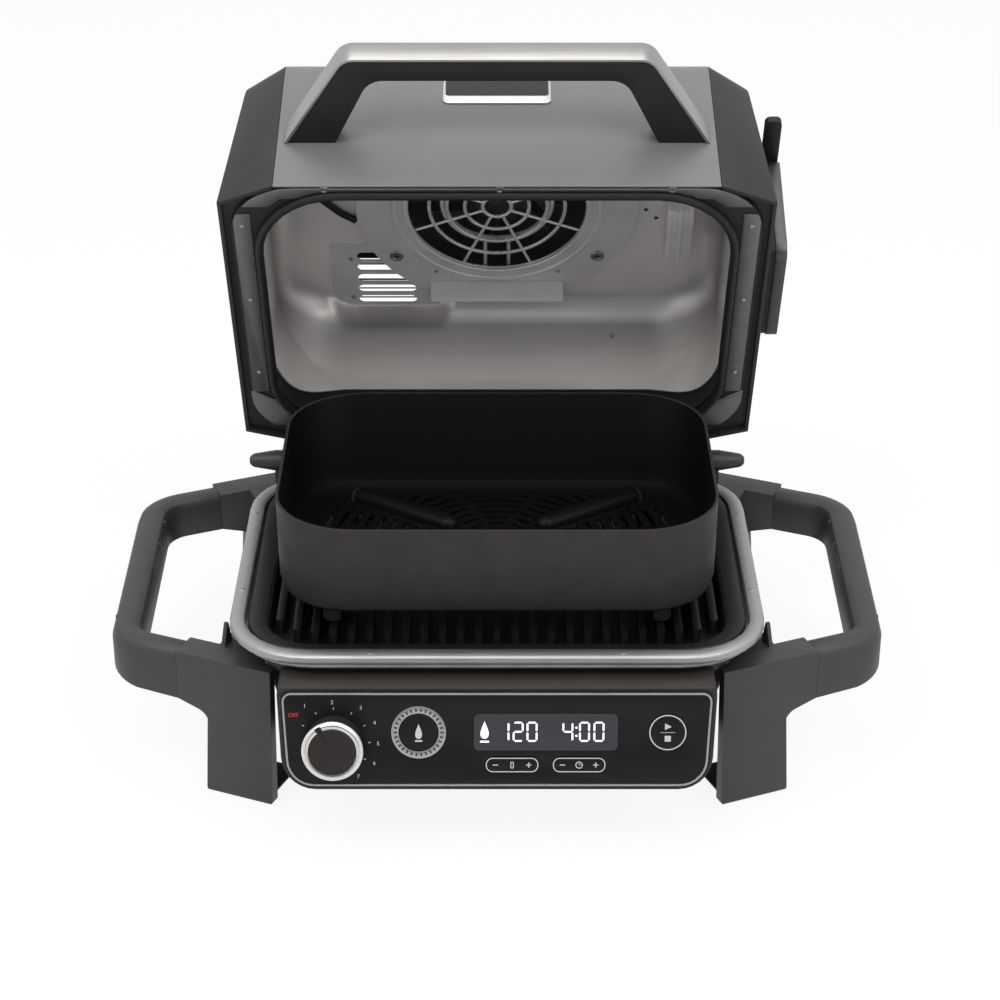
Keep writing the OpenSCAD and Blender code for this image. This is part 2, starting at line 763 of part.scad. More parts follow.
// Inset of the tub's outside at the height of the legs' tops, where it is widest beside them
leg_cut = let (a = base_rings[3], b = base_rings[4], s = (-leg_top - a[1]) / (b[1] - a[1]))
    a[0] + (b[0] - a[0]) * s;

// The legs are mirror images but for the front legs' tabs and taller arms, and stand clear of the tub
module leg(side, rear) on_table() difference() {
    mirror([side < 0 ? 1 : 0, 0, 0]) translate([0, rear ? leg_mid_y : 0, 0]) mirror([0, rear ? 1 : 0, 0])
        translate([0, rear ? -leg_mid_y : 0, 0]) leg_solid(rear);
    translate([0, 0, -leg_low - 1]) linear_extrude(leg_low + 2 - leg_top)
        polygon(plan(on_ring(thinner(leg_cut, seam_gap), 0)));
}

module front_leg_left() color([0.2, 0.19, 0.19]) leg(-1, false);
module front_leg_right() color([0.2, 0.19, 0.19]) leg(1, false);
module rear_leg_left() color([0.2, 0.19, 0.19]) leg(-1, true);
module rear_leg_right() color([0.2, 0.19, 0.19]) leg(1, true);

// Middle line of the right grip, from the front leg's arm round to the rear leg's arm
grip_start = [leg_x, leg_y] + [cos(leg_turn), sin(leg_turn)] * (arm_reach + seam_gap)
    + [-sin(leg_turn), cos(leg_turn)] * grip_w / 2;
function over_mid(p) = [p[0], 2 * leg_mid_y - p[1]];
function grip_half(x, bend) = let (corner = [x, grip_start[1] + (x - grip_start[0]) * tan(leg_turn), bend])
    concat([grip_start], corner_arc(grip_start, corner, [grip_x + grip_splay / 2, leg_mid_y]));
grip_front = grip_half(grip_x, grip_front_bend);
grip_rear = grip_half(grip_x + grip_splay, grip_rear_bend);
grip_path = concat(grip_front, [for (i = [len(grip_rear) - 1:-1:0]) over_mid(grip_rear[i])]);

// Height of the grip, which runs out from the front arm's height over the front bend
function grip_height(i) = let (n = len(grip_front) - 1) i < n ? arm_h + (grip_h - arm_h) * i / n : grip_h;

// Channel section of the grip, open below
function grip_section(h) = let (w = grip_w / 2, e = grip_edge, t = grip_shell)
    [[-w, -h], [-w, -e], [-w + 0.3 * e, -0.3 * e], [-w + e, 0], [w - e, 0], [w - 0.3 * e, -0.3 * e], [w, -e],
     [w, -h], [w - t, -h], [w - t, -e], [-w + t, -e], [-w + t, -h]];

function path_dir(path, i) = unit(path[min(i + 1, len(path) - 1)] - path[max(i - 1, 0)]);

module grip_solid() {
    last = len(grip_path) - 1;
    skin([for (i = [0:last]) let (t = i == 0 ? [cos(leg_turn), sin(leg_turn)] :
            i == last ? [-cos(leg_turn), sin(leg_turn)] : path_dir(grip_path, i), out = [t[1], -t[0]])
        [for (s = grip_section(grip_height(i))) let (p = grip_path[i] + out * s[0])
            [p[0], p[1], s[1] - leg_top]]]);
    for (k = [-2:2]) translate([grip_x - grip_w / 2 + grip_shell - 0.5,
        leg_mid_y + k * grip_rib_pitch - grip_rib_t / 2, -leg_top - grip_h + 4])
            cube([grip_w - 2 * grip_shell + grip_splay, grip_rib_t, grip_h - 8]);
}

module grip_right() color([0.17, 0.16, 0.16]) on_table() grip_solid();
module grip_left() color([0.17, 0.16, 0.16]) on_table() mirror([1, 0, 0]) grip_solid();

module rubber_feet() color([0.05, 0.05, 0.05]) on_table() both_sides() for (rear = [0, 1])
    translate([0, rear * leg_mid_y, 0]) mirror([0, rear, 0]) translate([0, -rear * leg_mid_y, 0])
        translate([leg_x, leg_y, -ring_height]) rotate(leg_turn)
            translate([(leg_spread + leg_foot_in + leg_w) / 2, leg_depth / 2, 0]) linear_extrude(foot_t)
                rounded_rect(leg_w - 2 * foot_in, leg_depth - 2 * foot_in, 6);

// Control panel

module fascia_outline(grow) let (h = fascia_half + grow) polygon(rounded([
    [-h + fascia_taper, -fascia_low - grow, fascia_low_r + grow],
    [h - fascia_taper, -fascia_low - grow, fascia_low_r + grow],
    [h, fascia_h + grow, fascia_top_r + grow], [-h, fascia_h + grow, fascia_top_r + grow]]));

module panel_housing() color([0.12, 0.11, 0.1]) {
    front_low = [panel_y, panel_z] - panel_margin * [sin(panel_tilt), cos(panel_tilt)];
    front_top = [panel_y, panel_z] + (fascia_h + panel_brow) * [sin(panel_tilt), cos(panel_tilt)];
    difference() {
        on_table() intersection() {
            across(-far / 2, far / 2) polygon([front_low, front_top, [20, base_top_z - 5], [48, base_top_z - 5],
                [48, front_low[1]]]);
            translate([0, 60, 0]) rotate([90, 0, 0]) linear_extrude(100) let (h = fascia_half + 3)
                polygon(rounded([[-h + fascia_taper, front_low[1], 26], [h - fascia_taper, front_low[1], 26],
                    [h, base_top_z - 5, 10], [-h, base_top_z - 5, 10]]));
        }
        on_table() base_envelope(seam_gap);
        on_fascia() translate([0, 0, -housing_depth]) linear_extrude(housing_depth + 1)
            fascia_outline(-housing_wall);
    }
}

module on_spot(p, z) translate([p[0], p[1], z]) children();

module fascia() color([0.03, 0.03, 0.03]) on_fascia() difference() {
    linear_extrude(fascia_t) fascia_outline(0);
    on_spot(knob_at, -1) cylinder(r = shaft_r + 1.5, h = fascia_t + 2);
    on_spot(flavour_at, -1) cylinder(r = flavour_d / 2 - flavour_ring_w + key_gap, h = fascia_t + 2);
    on_spot(start_at, -1) cylinder(r = start_d / 2 + key_gap, h = fascia_t + 2);
    on_spot(display_at, -1) linear_extrude(fascia_t + 2)
        rounded_rect(display_w + 2 * seam_gap, display_h + 2 * seam_gap, 4);
    for (p = [temp_at, time_at]) on_spot(p, -1) linear_extrude(fascia_t + 2)
        stadium(rocker_l + 2 * key_gap, rocker_w + 2 * key_gap);
}

module fascia_bezel() color("silver") on_fascia() translate([0, 0, fascia_t]) linear_extrude(bezel_h)
    difference() {
    fascia_outline(-1);
    fascia_outline(-1 - bezel_w);
}

module display_window() color([0.3, 0.31, 0.36]) on_fascia() on_spot(display_at, 0.4)
    linear_extrude(fascia_t - 0.2) rounded_rect(display_w, display_h, 4);

// Circuit board on standoffs behind the fascia, with the display module and the knob's encoder
module control_board() color("darkgreen") on_fascia() {
    translate([0, 0, -board_back]) linear_extrude(board_t) translate([0, fascia_h / 2])
        square([2 * board_half, board_h], center = true);
    for (x = [-1, 1], y = [-1, 1])
        translate([x * (board_half - 4), fascia_h / 2 + y * (board_h / 2 - 4), -board_back])
            cylinder(r = 3, h = board_back);
    on_spot(display_at, -board_back) linear_extrude(board_back)
        square([display_w - 8, display_h - 8], center = true);
    on_spot(knob_at, -board_back + board_t) linear_extrude(encoder_h) difference() {
        square(encoder_w, center = true);
        circle(shaft_r + pin_gap);
    }
}

// The shaft turns in the encoder on the board and carries the knob
module encoder_shaft() color("silver") on_fascia() on_spot(knob_at, -board_back + board_t + run_gap)
    cylinder(r = shaft_r, h = board_back - board_t - run_gap + fascia_t + knob_gap + knob_h - 4);

module pointer_groove() rotate(knob_pointer) translate([-1, knob_d / 2 - 13, 0]) cube([2, 20, 5]);

module knob() color([0.16, 0.14, 0.13]) on_fascia() on_spot(knob_at, fascia_t + knob_gap) difference() {
    let (r = knob_d / 2, seat = r - knob_step) rotate_extrude() polygon([[0, 0], [r - 1.5, 0],
        [r - 2.5, knob_h - knob_step], [seat, knob_h - knob_step], [seat, knob_h - 1], [seat - 1, knob_h],
        [0, knob_h]]);
    translate([0, 0, -1]) cylinder(r = shaft_r, h = knob_h - 3);
    translate([0, 0, knob_h - 1]) pointer_groove();
}

module knob_ring() color("silver") on_fascia() on_spot(knob_at, knob_ring_z) difference() {
    let (r = knob_d / 2, h = knob_ring_h, b = knob_bevel) rotate_extrude() polygon([[r - knob_step, 0], [r, 0],
        [r, h - b], [r - b, h], [r - knob_step, h]]);
    translate([0, 0, knob_ring_h - 1]) pointer_groove();
}

module flavour_ring() color("silver") on_fascia() on_spot(flavour_at, fascia_t) linear_extrude(bezel_h)
    difference() {
    circle(d = flavour_d);
    circle(r = flavour_d / 2 - flavour_ring_w + key_gap);
}

module round_key(p, r) on_fascia() on_spot(p, fascia_t + key_proud - key_depth) rotate_extrude()
    polygon([[0, 0], [r, 0], [r, key_depth - 0.5], [r - 0.5, key_depth], [0, key_depth]]);

module rocker_key(p) on_fascia() on_spot(p, fascia_t + key_proud - key_depth) linear_extrude(key_depth)
    stadium(rocker_l, rocker_w);

module flavour_button() color([0.04, 0.04, 0.04]) round_key(flavour_at, flavour_d / 2 - flavour_ring_w);
module start_stop_button() color([0.04, 0.04, 0.04]) round_key(start_at, start_d / 2);
module temp_rocker() color([0.05, 0.05, 0.05]) rocker_key(temp_at);
module time_rocker() color([0.05, 0.05, 0.05]) rocker_key(time_at);

// Rear of the base

// Plan of the housing between the rear legs, drawn in by a wall
module rear_plan(in) let (h = rear_housing_half - in, y = rear_housing_y - in,
    g = h - (rear_housing_y - ring_d / 2) * tan(leg_turn))
    polygon(rounded([[-g, ring_d / 2, 0], [g, ring_d / 2, 0], [h, y, rear_corner_r - in],
        [-h, y, rear_corner_r - in]]));

module rear_housing() color([0.12, 0.11, 0.11]) on_table() difference() {
    translate([0, 0, -base_depth]) linear_extrude(base_depth + rear_housing_top) rear_plan(0);
    translate([0, 0, -base_depth - 1]) linear_extrude(base_depth + 1 + rear_housing_top - base_wall)
        rear_plan(base_wall);
    base_envelope(seam_gap);
    for (i = [-5:5])
        translate([i * rear_slot_pitch - rear_slot_w / 2, rear_housing_y - 2 * base_wall, -base_depth / 2])
            cube([rear_slot_w, 3 * base_wall, rear_slot_h]);
}

// Hinge barrels stand on the rear legs and hold the pins
module hinge_barrels() color([0.2, 0.19, 0.19]) on_table() both_sides() difference() {
    union() {
        translate([barrel_x, hinge_y, hinge_z]) rotate([0, 90, 0]) rotate_extrude()
            let (l = barrel_end - barrel_x) polygon([[0, 0], [barrel_r, 0], [barrel_r, l - barrel_taper],
                [barrel_tip_r + 1, l - 4], [barrel_tip_r, l - 2], [barrel_tip_r - 2, l], [0, l]]);
        translate([leg_x + 3, hinge_y - barrel_foot / 2, barrel_seat_z])
            cube([barrel_end - barrel_taper - leg_x - 3, barrel_foot,
                hinge_z - 2 * barrel_r / 3 - barrel_seat_z]);
    }
    translate([0, hinge_y, hinge_z]) bar_x(barrel_x - 1, pin_end + 1, pin_r + seam_gap);
}

module hinge_pins() color("silver") on_table() both_sides() translate([0, hinge_y, hinge_z]) {
    bar_x(arm_x - 1, pin_end, pin_r);
    bar_x(arm_x - 1 - pin_head_t, arm_x - 1, pin_head_r);
}

module cord_gland() color([0.06, 0.06, 0.06]) on_table() translate([gland_at[0], rear_housing_y, gland_at[1]])
    rotate([-90, 0, 0]) rotate_extrude() polygon([[gland_bore_r, 0], [gland_r, 0], [gland_r, 3],
        [gland_r - 2.5, gland_l], [gland_bore_r, gland_l]]);

// Section of a rail under the tub, which carries the tray's rim
module tray_rails() color("gray") on_table() both_sides() translate([0, rear_housing_y - 2, 0])
    rotate([90, 0, 0]) linear_extrude(rear_housing_y - tray_front - 8) let (x = tray_half + tray_rim_w + 0.6,
        z = tray_rim_z - tray_rim_t - run_gap) polygon([[x, -base_depth], [x + rail_t, -base_depth],
            [x + rail_t, z - rail_t], [x + rail_t - rail_hook, z - rail_t],
            [x + rail_t - rail_hook, z], [x, z]]);

module grease_tray() color("silver") on_table() {
    difference() {
        union() {
            translate([0, tray_front + tray_d / 2, tray_rim_z - tray_h]) linear_extrude(tray_h)
                rounded_rect(2 * tray_half, tray_d, 8);
            translate([0, tray_front + tray_d / 2, tray_rim_z - tray_rim_t]) linear_extrude(tray_rim_t)
                rounded_rect(2 * (tray_half + tray_rim_w), tray_d, 6);
        }
        translate([0, tray_front + tray_d / 2, tray_rim_z - tray_h + tray_wall]) linear_extrude(tray_h)
            rounded_rect(2 * (tray_half - tray_wall), tray_d - 2 * tray_wall, 6);
    }
    across(-tray_half + 10, tray_half - 10) translate([tray_front + tray_d - 1, tray_rim_z])
        polygon(rounded([[0, 0, 0], [0, -tray_rim_t, 0], [tray_grip_l - 3, -tray_rim_t, 0],
            [tray_grip_l - 3, -14, 0], [tray_grip_l, -14, 0], [tray_grip_l, 0, 4]]));
}

// Lid, drawn closed and turned open

// Side view of the lid, drawn in by a gap and cut off at a lower edge
function lid_profile(gap, low) = concat(
    [[lid_rear - gap, low]],
    [for (k = [0:arc_steps]) let (a = 90 * k / arc_steps)
        rear_arc + (lid_rear_r - gap) * [cos(a), sin(a)]],
    [for (k = [0:arc_steps]) let (a = 90 + (90 - lid_lean) * k / arc_steps)
        front_arc + (lid_front_r - gap) * [cos(a), sin(a)]],
    [[lid_front + gap / cos(lid_lean) + (low - lid_rim) * lean_tan, low]]);

module lid_sheet(wall) difference() {
    polygon(lid_profile(0, lid_rim));
    polygon(lid_profile(wall, lid_rim - 1));
}

module lid_panel() color([0.42, 0.43, 0.44]) on_lid() across(-panel_half, panel_half) intersection() {
    lid_sheet(panel_sheet);
    translate([-far + panel_end, 0]) square([far, far]);
}

// Outlet slots on the rear round edge, above the exhaust vent
module rear_outlet() for (k = [0:outlet_slots - 1])
    translate([vent_at[0] - 3 - outlet_w / 2, rear_arc[0], rear_arc[1]])
        rotate([outlet_from + outlet_pitch * k, 0, 0]) translate([0, lid_rear_r - 8, -outlet_slot_h / 2])
            cube([outlet_w, 12, outlet_slot_h]);

module lid_rear_cover() color([0.12, 0.11, 0.11]) on_lid() difference() {
    across(-panel_half, panel_half) intersection() {
        lid_sheet(cap_wall);
        translate([panel_end + seam_gap, lid_rim]) square([far, far]);
    }
    rear_outlet();
    both_sides() translate([arm_x - 1, lid_rear - cap_wall - 2, lid_rim - 1])
        cube([arm_w + 2, cap_wall + 4, 26]);
}

// End of the cap: the side view drawn in at the front, the rear and the top
function cap_end(p, wall) = let (s = (p[0] - lid_front) / (lid_rear - lid_front),
        z = lid_rim + (p[1] - lid_rim) * (lid_top - cap_drop - lid_rim) / (lid_top - lid_rim))
    [lid_half - wall - cap_taper * (z - lid_rim),
     lid_front + cap_front_back + s * (lid_rear - lid_front - cap_front_back - cap_rear_in), z];

module cap_solid(wall, x0, low) let (p = lid_profile(wall, low))
    skin([[for (q = p) [x0, q[0], q[1]]], [for (q = p) cap_end(q, wall)]]);

module lid_cap() {
    difference() {
        cap_solid(0, panel_half + seam_gap, lid_rim);
        cap_solid(cap_wall, panel_half - 2, lid_rim - 2);
    }
    difference() {
        translate([0, 0, frame_z + frame_t + seam_gap]) linear_extrude(web_t) polygon([
            [panel_half + seam_gap, lid_front + 5], [lid_half - 2.5, lid_front + cap_front_back + 2.5],
            [lid_half - 2.5, lid_rear - cap_rear_in - 2.5], [panel_half + seam_gap, lid_rear - 2]]);
        skin([frame_loop(frame_t + seam_gap, 0), frame_loop(frame_t + seam_gap, 20)]);
    }
}

module lid_cap_left() color([0.12, 0.11, 0.11]) on_lid() mirror([1, 0, 0]) lid_cap();

module lid_cap_right() color([0.12, 0.11, 0.11]) on_lid() difference() {
    lid_cap();
    translate([smoke_in - seam_gap, smoke_front - seam_gap, smoke_low - seam_gap])
        cube([far, smoke_d + 2 * seam_gap, smoke_h + 2 * seam_gap]);
}

// One loop of the liner, grown by a distance; its front follows the lean of the panel
function liner_loop(grow, in, z) = outline(liner_half + grow - in,
    liner_front - grow + in + (min(z, liner_top) - frame_z) * lean_tan,
    liner_rear + grow - in * liner_rear_share, max(liner_r + grow - in, 6), z);

function frame_loop(grow, z) = liner_loop(liner_wall + seam_gap + grow, 0, z);

// Quarter round between the liner's walls and its ceiling
function liner_rings(grow) = [for (k = [0:5]) let (a = 90 * k / 5, r = liner_round + grow)
    liner_loop(grow, r * (1 - cos(a)), liner_top - liner_round + r * sin(a))];

module lid_frame() color([0.09, 0.09, 0.09]) on_lid() {
    flat = outline(frame_half, frame_front, frame_rear, frame_r, 0);
    skin([
        [for (p = flat) [p[0], p[1], frame_z]], [for (p = flat) [p[0], p[1], frame_z + frame_t]],
        frame_loop(frame_t, frame_z + frame_t), frame_loop(frame_t, frame_z + frame_h),
        frame_loop(0, frame_z + frame_h), frame_loop(0, frame_z + frame_lip_t),
        frame_loop(-frame_lip, frame_z + frame_lip_t), frame_loop(-frame_lip, frame_z)], false);
}

module lid_liner() color("silver") on_lid() difference() {
    skin(concat([for (i = [5:-1:0]) liner_rings(0)[i]],
        [liner_loop(0, 0, frame_z + 1), liner_loop(liner_wall, 0, frame_z + 1)], liner_rings(liner_wall)));
    translate([-far / 2, liner_cut_y, frame_z]) rotate([liner_cut_slope, 0, 0]) translate([0, 0, -far])
        cube([far, far, far]);
    translate([0, fan_y, liner_top - 1]) cylinder(r = liner_hole_r, h = liner_wall + 2);
    translate([vent_at[0], vent_at[1], liner_top - 1]) linear_extrude(liner_wall + 2)
        rounded_rect(vent_slot_w + 2, vent_span + 2, 3);
}

function seal_loop(in, z) = outline(seal_half - in, seal_front + in, seal_rear - in, liner_r + 6 - in, z);

module lid_seal() color([0.04, 0.04, 0.04]) on_lid() skin([
    seal_loop(0, seal_low + 2), seal_loop(0, frame_z), seal_loop(seal_w, frame_z),
    seal_loop(seal_w, seal_low + 2), seal_loop(seal_w * 0.7, seal_low),
    seal_loop(seal_w * 0.3, seal_low)], false);

// Strips and corner plates on the underside of the frame, outside the seal
module lid_flange() color("silver") on_lid() translate([0, 0, frame_z - flange_t]) linear_extrude(flange_t)
    difference() {
    intersection() {
        let (d = flange_in)
            polygon(plan(outline(frame_half - d, frame_front + d, frame_rear - d, frame_r - d, 0)));
        both_sides() {
            translate([flange_x, flange_front]) square([flange_w, flange_rear - flange_front]);
            polygon(corner_plate_rear);
            polygon(corner_plate_front);
        }
    }
    polygon(plan(seal_loop(-0.5, 0)));
}

module screw_head(p) translate([p[0], p[1], p[2] - screw_h]) rotate_extrude()
    polygon([[0, 0], [screw_r - 0.6, 0], [screw_r, 0.6], [screw_r, screw_h], [0, screw_h]]);

// Heads on the flanges, the fan plate and the exhaust plate
module lid_screws() color("silver") on_lid() {
    both_sides() for (s = strip_screws) screw_head([flange_x + flange_w / 2,
        flange_front + s * (flange_rear - flange_front), frame_z - flange_t]);
    both_sides() for (s = plate_screws) let (a = s[0], r = fan_plate_r - s[1])
        screw_head([r * sin(a), fan_y + r * cos(a), fan_plate_z]);
    for (y = [-1, 1]) screw_head([vent_at[0] - vent_left + 18, vent_at[1] + y * vent_d / 3.5,
        liner_top - fan_sheet]);
}

// Lid arms that turn on the hinge pins
module hinge_arms() color("dimgray") on_lid() both_sides() difference() {
    across(arm_x, arm_x + arm_w) {
        turn_r = liner_r + liner_wall + seam_gap + frame_t;
        turn_x = arm_x - liner_half + liner_r;
        y0 = liner_rear - liner_r + sqrt(pow(turn_r, 2) - pow(turn_x, 2)) + seam_gap;
        polygon([[y0, frame_z + frame_t + seam_gap], [frame_rear + 0.4, frame_z + frame_t + seam_gap],
            [frame_rear + 0.4, lid_rim], [ring_d + 1.5, 1.4], [hinge_y - barrel_r + 1, hinge_z - 4],
            [hinge_y, hinge_z], [hinge_y + 4, hinge_z + barrel_r - 2],
            [lid_rear - cap_wall - 1, 24], [lid_rear - cap_wall - 1, 50], [y0, 50]]);
        translate([hinge_y, hinge_z]) circle(barrel_r);
    }
    translate([0, hinge_y, hinge_z]) bar_x(arm_x - 1, arm_x + arm_w + 1, pin_r + pin_gap);
}

// Convection fan in the lid

module on_fan(z) on_lid() translate([0, fan_y, z]) children();

// Beaded plate on a spacer ring below the ceiling
module fan_plate() color("lightgray") on_lid() difference() {
    union() {
        translate([0, 0, fan_plate_z]) linear_extrude(fan_sheet) intersection() {
            translate([0, fan_y]) circle(fan_plate_r, $fn = 96);
            translate([-far / 2, fan_flat_front]) square([far, fan_flat_rear - fan_flat_front]);
        }
        translate([0, fan_y, fan_plate_z + fan_sheet / 2]) rotate_extrude($fn = 96) translate([spacer_r, 0])
            square([spacer_t, fan_drop + fan_sheet / 2]);
        translate([0, fan_y, fan_plate_z]) for (r = bead_radii) rotate_extrude($fn = 96)
            translate([r + bead_r, 0]) intersection() {
                circle(bead_r);
                translate([-bead_r, -bead_r]) square([2 * bead_r, bead_r + 0.5]);
            }
    }
    translate([0, fan_y, 0]) cylinder(r = fan_hole_r, h = far, $fn = 96);
}

// Wire guard: rings and spokes, fixed to the rear of the fan plate
module fan_guard() color("silver") on_fan(guard_z + guard_wire / 2) {
    for (r = guard_radii) rotate_extrude($fn = 96) translate([r, 0]) circle(d = guard_wire);
    for (k = [0:guard_spokes - 1]) rotate(k * 360 / guard_spokes + 22.5)
        bar_x(guard_radii[0], guard_radii[4], guard_wire / 2 - 0.2);
}

module lid_heater() color("dimgray") on_fan(heater_z) {
    rotate_extrude() translate([heater_r, 0]) circle(d = heater_wire);
    for (s = [-1, 1]) translate([s * 10, 0, 0]) bar_y(heater_r - 1, shroud_r - shroud_t - 1, heater_leg_r);
}

// Fan housing on the liner's ceiling
module fan_shroud() color("silver") on_fan(ceiling_z) difference() {
    rotate_extrude($fn = 96) polygon([[shroud_r + 10, 0], [shroud_r + 10, shroud_t], [shroud_r, shroud_t],
        [shroud_r, shroud_h], [0, shroud_h], [0, shroud_h - shroud_t],
        [shroud_r - shroud_t, shroud_h - shroud_t], [shroud_r - shroud_t, 0]]);
    translate([0, 0, -1]) cylinder(r = motor_shaft_r + 2, h = shroud_h + 2);
    translate([vent_at[0], vent_at[1] - fan_y, -1]) linear_extrude(shroud_t + 2)
        rounded_rect(vent_slot_w + 4, vent_span + 4, 3);
}

module fan_motor() color("dimgray") on_fan(motor_z) {
    cylinder(r = motor_r, h = motor_h);
    translate([0, 0, wheel_z + 4 - motor_z]) cylinder(r = motor_shaft_r, h = motor_z - wheel_z - 3);
}

module fan_wheel() color("silver") on_fan(wheel_z) difference() {
    union() {
        translate([0, 0, wheel_h - wheel_plate]) cylinder(r = wheel_r, h = wheel_plate);
        cylinder(r = hub_r, h = wheel_h);
        for (k = [0:wheel_blades - 1]) rotate(k * 360 / wheel_blades) translate([wheel_r * 0.55, 0, 0])
            rotate(28) translate([0, -0.75, 0]) cube([wheel_r * 0.42, 1.5, wheel_h]);
    }
    translate([0, 0, 3.5]) cylinder(r = motor_shaft_r + pin_gap, h = wheel_h);
}

// Slotted exhaust plate on the ceiling
module exhaust_vent() color("silver") on_lid() translate([vent_at[0], vent_at[1], liner_top - fan_sheet])
    difference() {
    linear_extrude(fan_sheet) difference() {
        polygon(rounded([[-vent_left, -vent_d / 2, 6], [vent_right, -vent_d / 2, 6],
            [vent_right, vent_d / 2, 6], [-vent_left, vent_d / 2, vent_corner]]));
        translate([-vent_at[0], fan_y - vent_at[1]]) circle(spacer_r + spacer_t + run_gap, $fn = 96);
    }
    for (k = [0:vent_slots - 1]) translate([0, (k - (vent_slots - 1) / 2) * vent_pitch, -1])
        linear_extrude(fan_sheet + 2) stadium(vent_slot_w, vent_slot_h);
}

// Folded plate below the fan
module deflector() color("silver") on_lid() across(-deflector_w / 2, deflector_w / 2)
    translate([deflector_y, fan_plate_z - seat_gap]) polygon([[0, 0], [deflector_seat, 0],
        [deflector_seat, -fan_sheet], [fan_sheet, -fan_sheet], [deflector_back + fan_sheet, -deflector_drop],
        [deflector_back, -deflector_drop], [0, -fan_sheet]]);

// Ribbed cover over the passage from the smoke box
module smoke_duct() color("silver") on_lid()
    translate([duct_at[0], duct_at[1], liner_top - duct_size[2] - seam_gap]) {
    cube(duct_size);
    for (k = [0:duct_ribs - 1]) translate([k * (duct_size[0] - duct_rib_w) / (duct_ribs - 1), -2, -2])
        cube([duct_rib_w, duct_size[1] + 4, duct_size[2] + 2]);
}

// Lid handle

module handle_outline(in)
    let (f = handle_foot_half - in * 1.2, g = handle_grip_half - in * 0.6, h = handle_h - in)
    polygon(rounded([[-f, 0, 0], [f, 0, 0], [g, h, handle_bend - in], [-g, h, handle_bend - in]]));

module handle_window()
    let (f = handle_foot_half - handle_foot_w, g = handle_grip_half - 20, h = handle_h - handle_grip_t)
    polygon(rounded([[-f, -1, 0], [f, -1, 0], [g, h, handle_inner_r], [-g, h, handle_inner_r]]));

// Draws an outline in X and height above the panel out along the panel
module on_handle(up, depth) on_panel() translate([0, up + depth, 0]) rotate([90, 0, 0])
    linear_extrude(depth) children();

module handle_core() color([0.1, 0.1, 0.1]) on_handle(handle_up, handle_depth) difference() {
    handle_outline(strap_t + 0.02);
    handle_window();
}

module handle_strap() color("silver") on_handle(handle_up - 1, handle_depth + 2) difference() {
    handle_outline(0);
    handle_outline(strap_t);
}

// Bare plate on the front panel
module badge_plate() color("silver") on_panel() translate([0, badge_up, 0]) linear_extrude(badge_t)
    rounded_rect(badge_w, badge_h, badge_r);

// Smoke box on the right of the lid

module smoke_side(in) translate([smoke_front + smoke_d / 2, smoke_low + smoke_h / 2])
    rounded_rect(smoke_d - 2 * in, smoke_h - 2 * in, smoke_r - in);

module smoke_box() color([0.1, 0.1, 0.1]) on_lid() difference() {
    union() {
        across(smoke_in, smoke_out) smoke_side(0);
        for (x = [smoke_mouth, smoke_out - door_ear_w]) across(x, x + door_ear_w) {
            translate([door_pin_y, door_pin_z]) circle(door_knuckle_r);
            translate([door_pin_y - door_knuckle_r, smoke_top - 1])
                square([2 * door_knuckle_r, door_pin_z - smoke_top + 1]);
        }
        translate([0, door_pin_y, door_pin_z]) bar_x(smoke_mouth + 1, smoke_out - 1, door_pin_r);
    }
    across(smoke_mouth, smoke_out - smoke_wall) smoke_side(smoke_wall);
    across(smoke_in + smoke_wall, smoke_mouth - smoke_wall) smoke_side(2 * smoke_wall);
    translate([smoke_mouth, smoke_front + smoke_r, smoke_top - smoke_r])
        cube([smoke_out - smoke_wall - smoke_mouth, smoke_mouth_d, smoke_r + 0.5]);
    across(smoke_in - 1, smoke_mouth + 1) translate([smoke_front + smoke_d / 2, smoke_low + 0.7 * smoke_h])
        stadium(smoke_d / 2, smoke_h / 5);
}

// Bright band round the outer edge of the box, open above for the door
module smoke_trim() color("silver") on_lid() difference() {
    across(smoke_out - trim_d, smoke_out + trim_t) smoke_side(-trim_t);
    across(smoke_out - trim_d - 1, smoke_out) smoke_side(0);
    across(smoke_out - 1, smoke_out + trim_t + 1) smoke_side(trim_w);
    translate([smoke_out - trim_d - 1, smoke_front - smoke_r, smoke_top])
        cube([trim_d + trim_t + 2, smoke_d + 2 * smoke_r, smoke_r]);
}

// Door that swings up on a pin at its rear
module smoke_door() color("gray") on_lid() {
    mid = (smoke_mouth + smoke_out) / 2;
    knuckle_l = smoke_out - smoke_mouth - 2 * door_ear_w - 2 * run_gap;
    door_rear = door_pin_y - 2 * door_knuckle_r;
    difference() {
        union() {
            translate([mid, (smoke_front + door_rear) / 2, smoke_top + run_gap]) linear_extrude(smoke_door_t)
                rounded_rect(smoke_out - smoke_mouth, door_rear - smoke_front, 5);
            translate([smoke_out - door_tab_w / 2, smoke_front - door_tab / 2 + 4, smoke_top + run_gap])
                linear_extrude(2 * smoke_door_t) rounded_rect(door_tab_w, door_tab + 8, 5);
            translate([mid - knuckle_l / 2, door_rear - 1, smoke_top + run_gap])
                cube([knuckle_l, door_pin_y - door_rear + 1, smoke_door_t]);
            translate([mid - knuckle_l / 2, door_pin_y, door_pin_z]) bar_x(0, knuckle_l, door_knuckle_r);
        }
        translate([0, door_pin_y, door_pin_z]) bar_x(smoke_mouth, smoke_out, door_pin_r + pin_gap);
    }
}

module pellet_basket() color("silver") on_lid()
    translate([smoke_mouth + pellet_in, smoke_front + smoke_r + pellet_in, smoke_low + smoke_wall + run_gap])
    let (w = smoke_out - smoke_wall - smoke_mouth - 2 * pellet_in, d = smoke_mouth_d - 2 * pellet_in,
         h = smoke_h - 20) difference() {
        cube([w, d, h]);
        translate([1, 1, 1]) cube([w - 2, d - 2, h]);
        for (i = [1:6], j = [1:4]) translate([-1, i * d / 7, j * h / 5]) bar_x(0, w + 2, 3);
    }

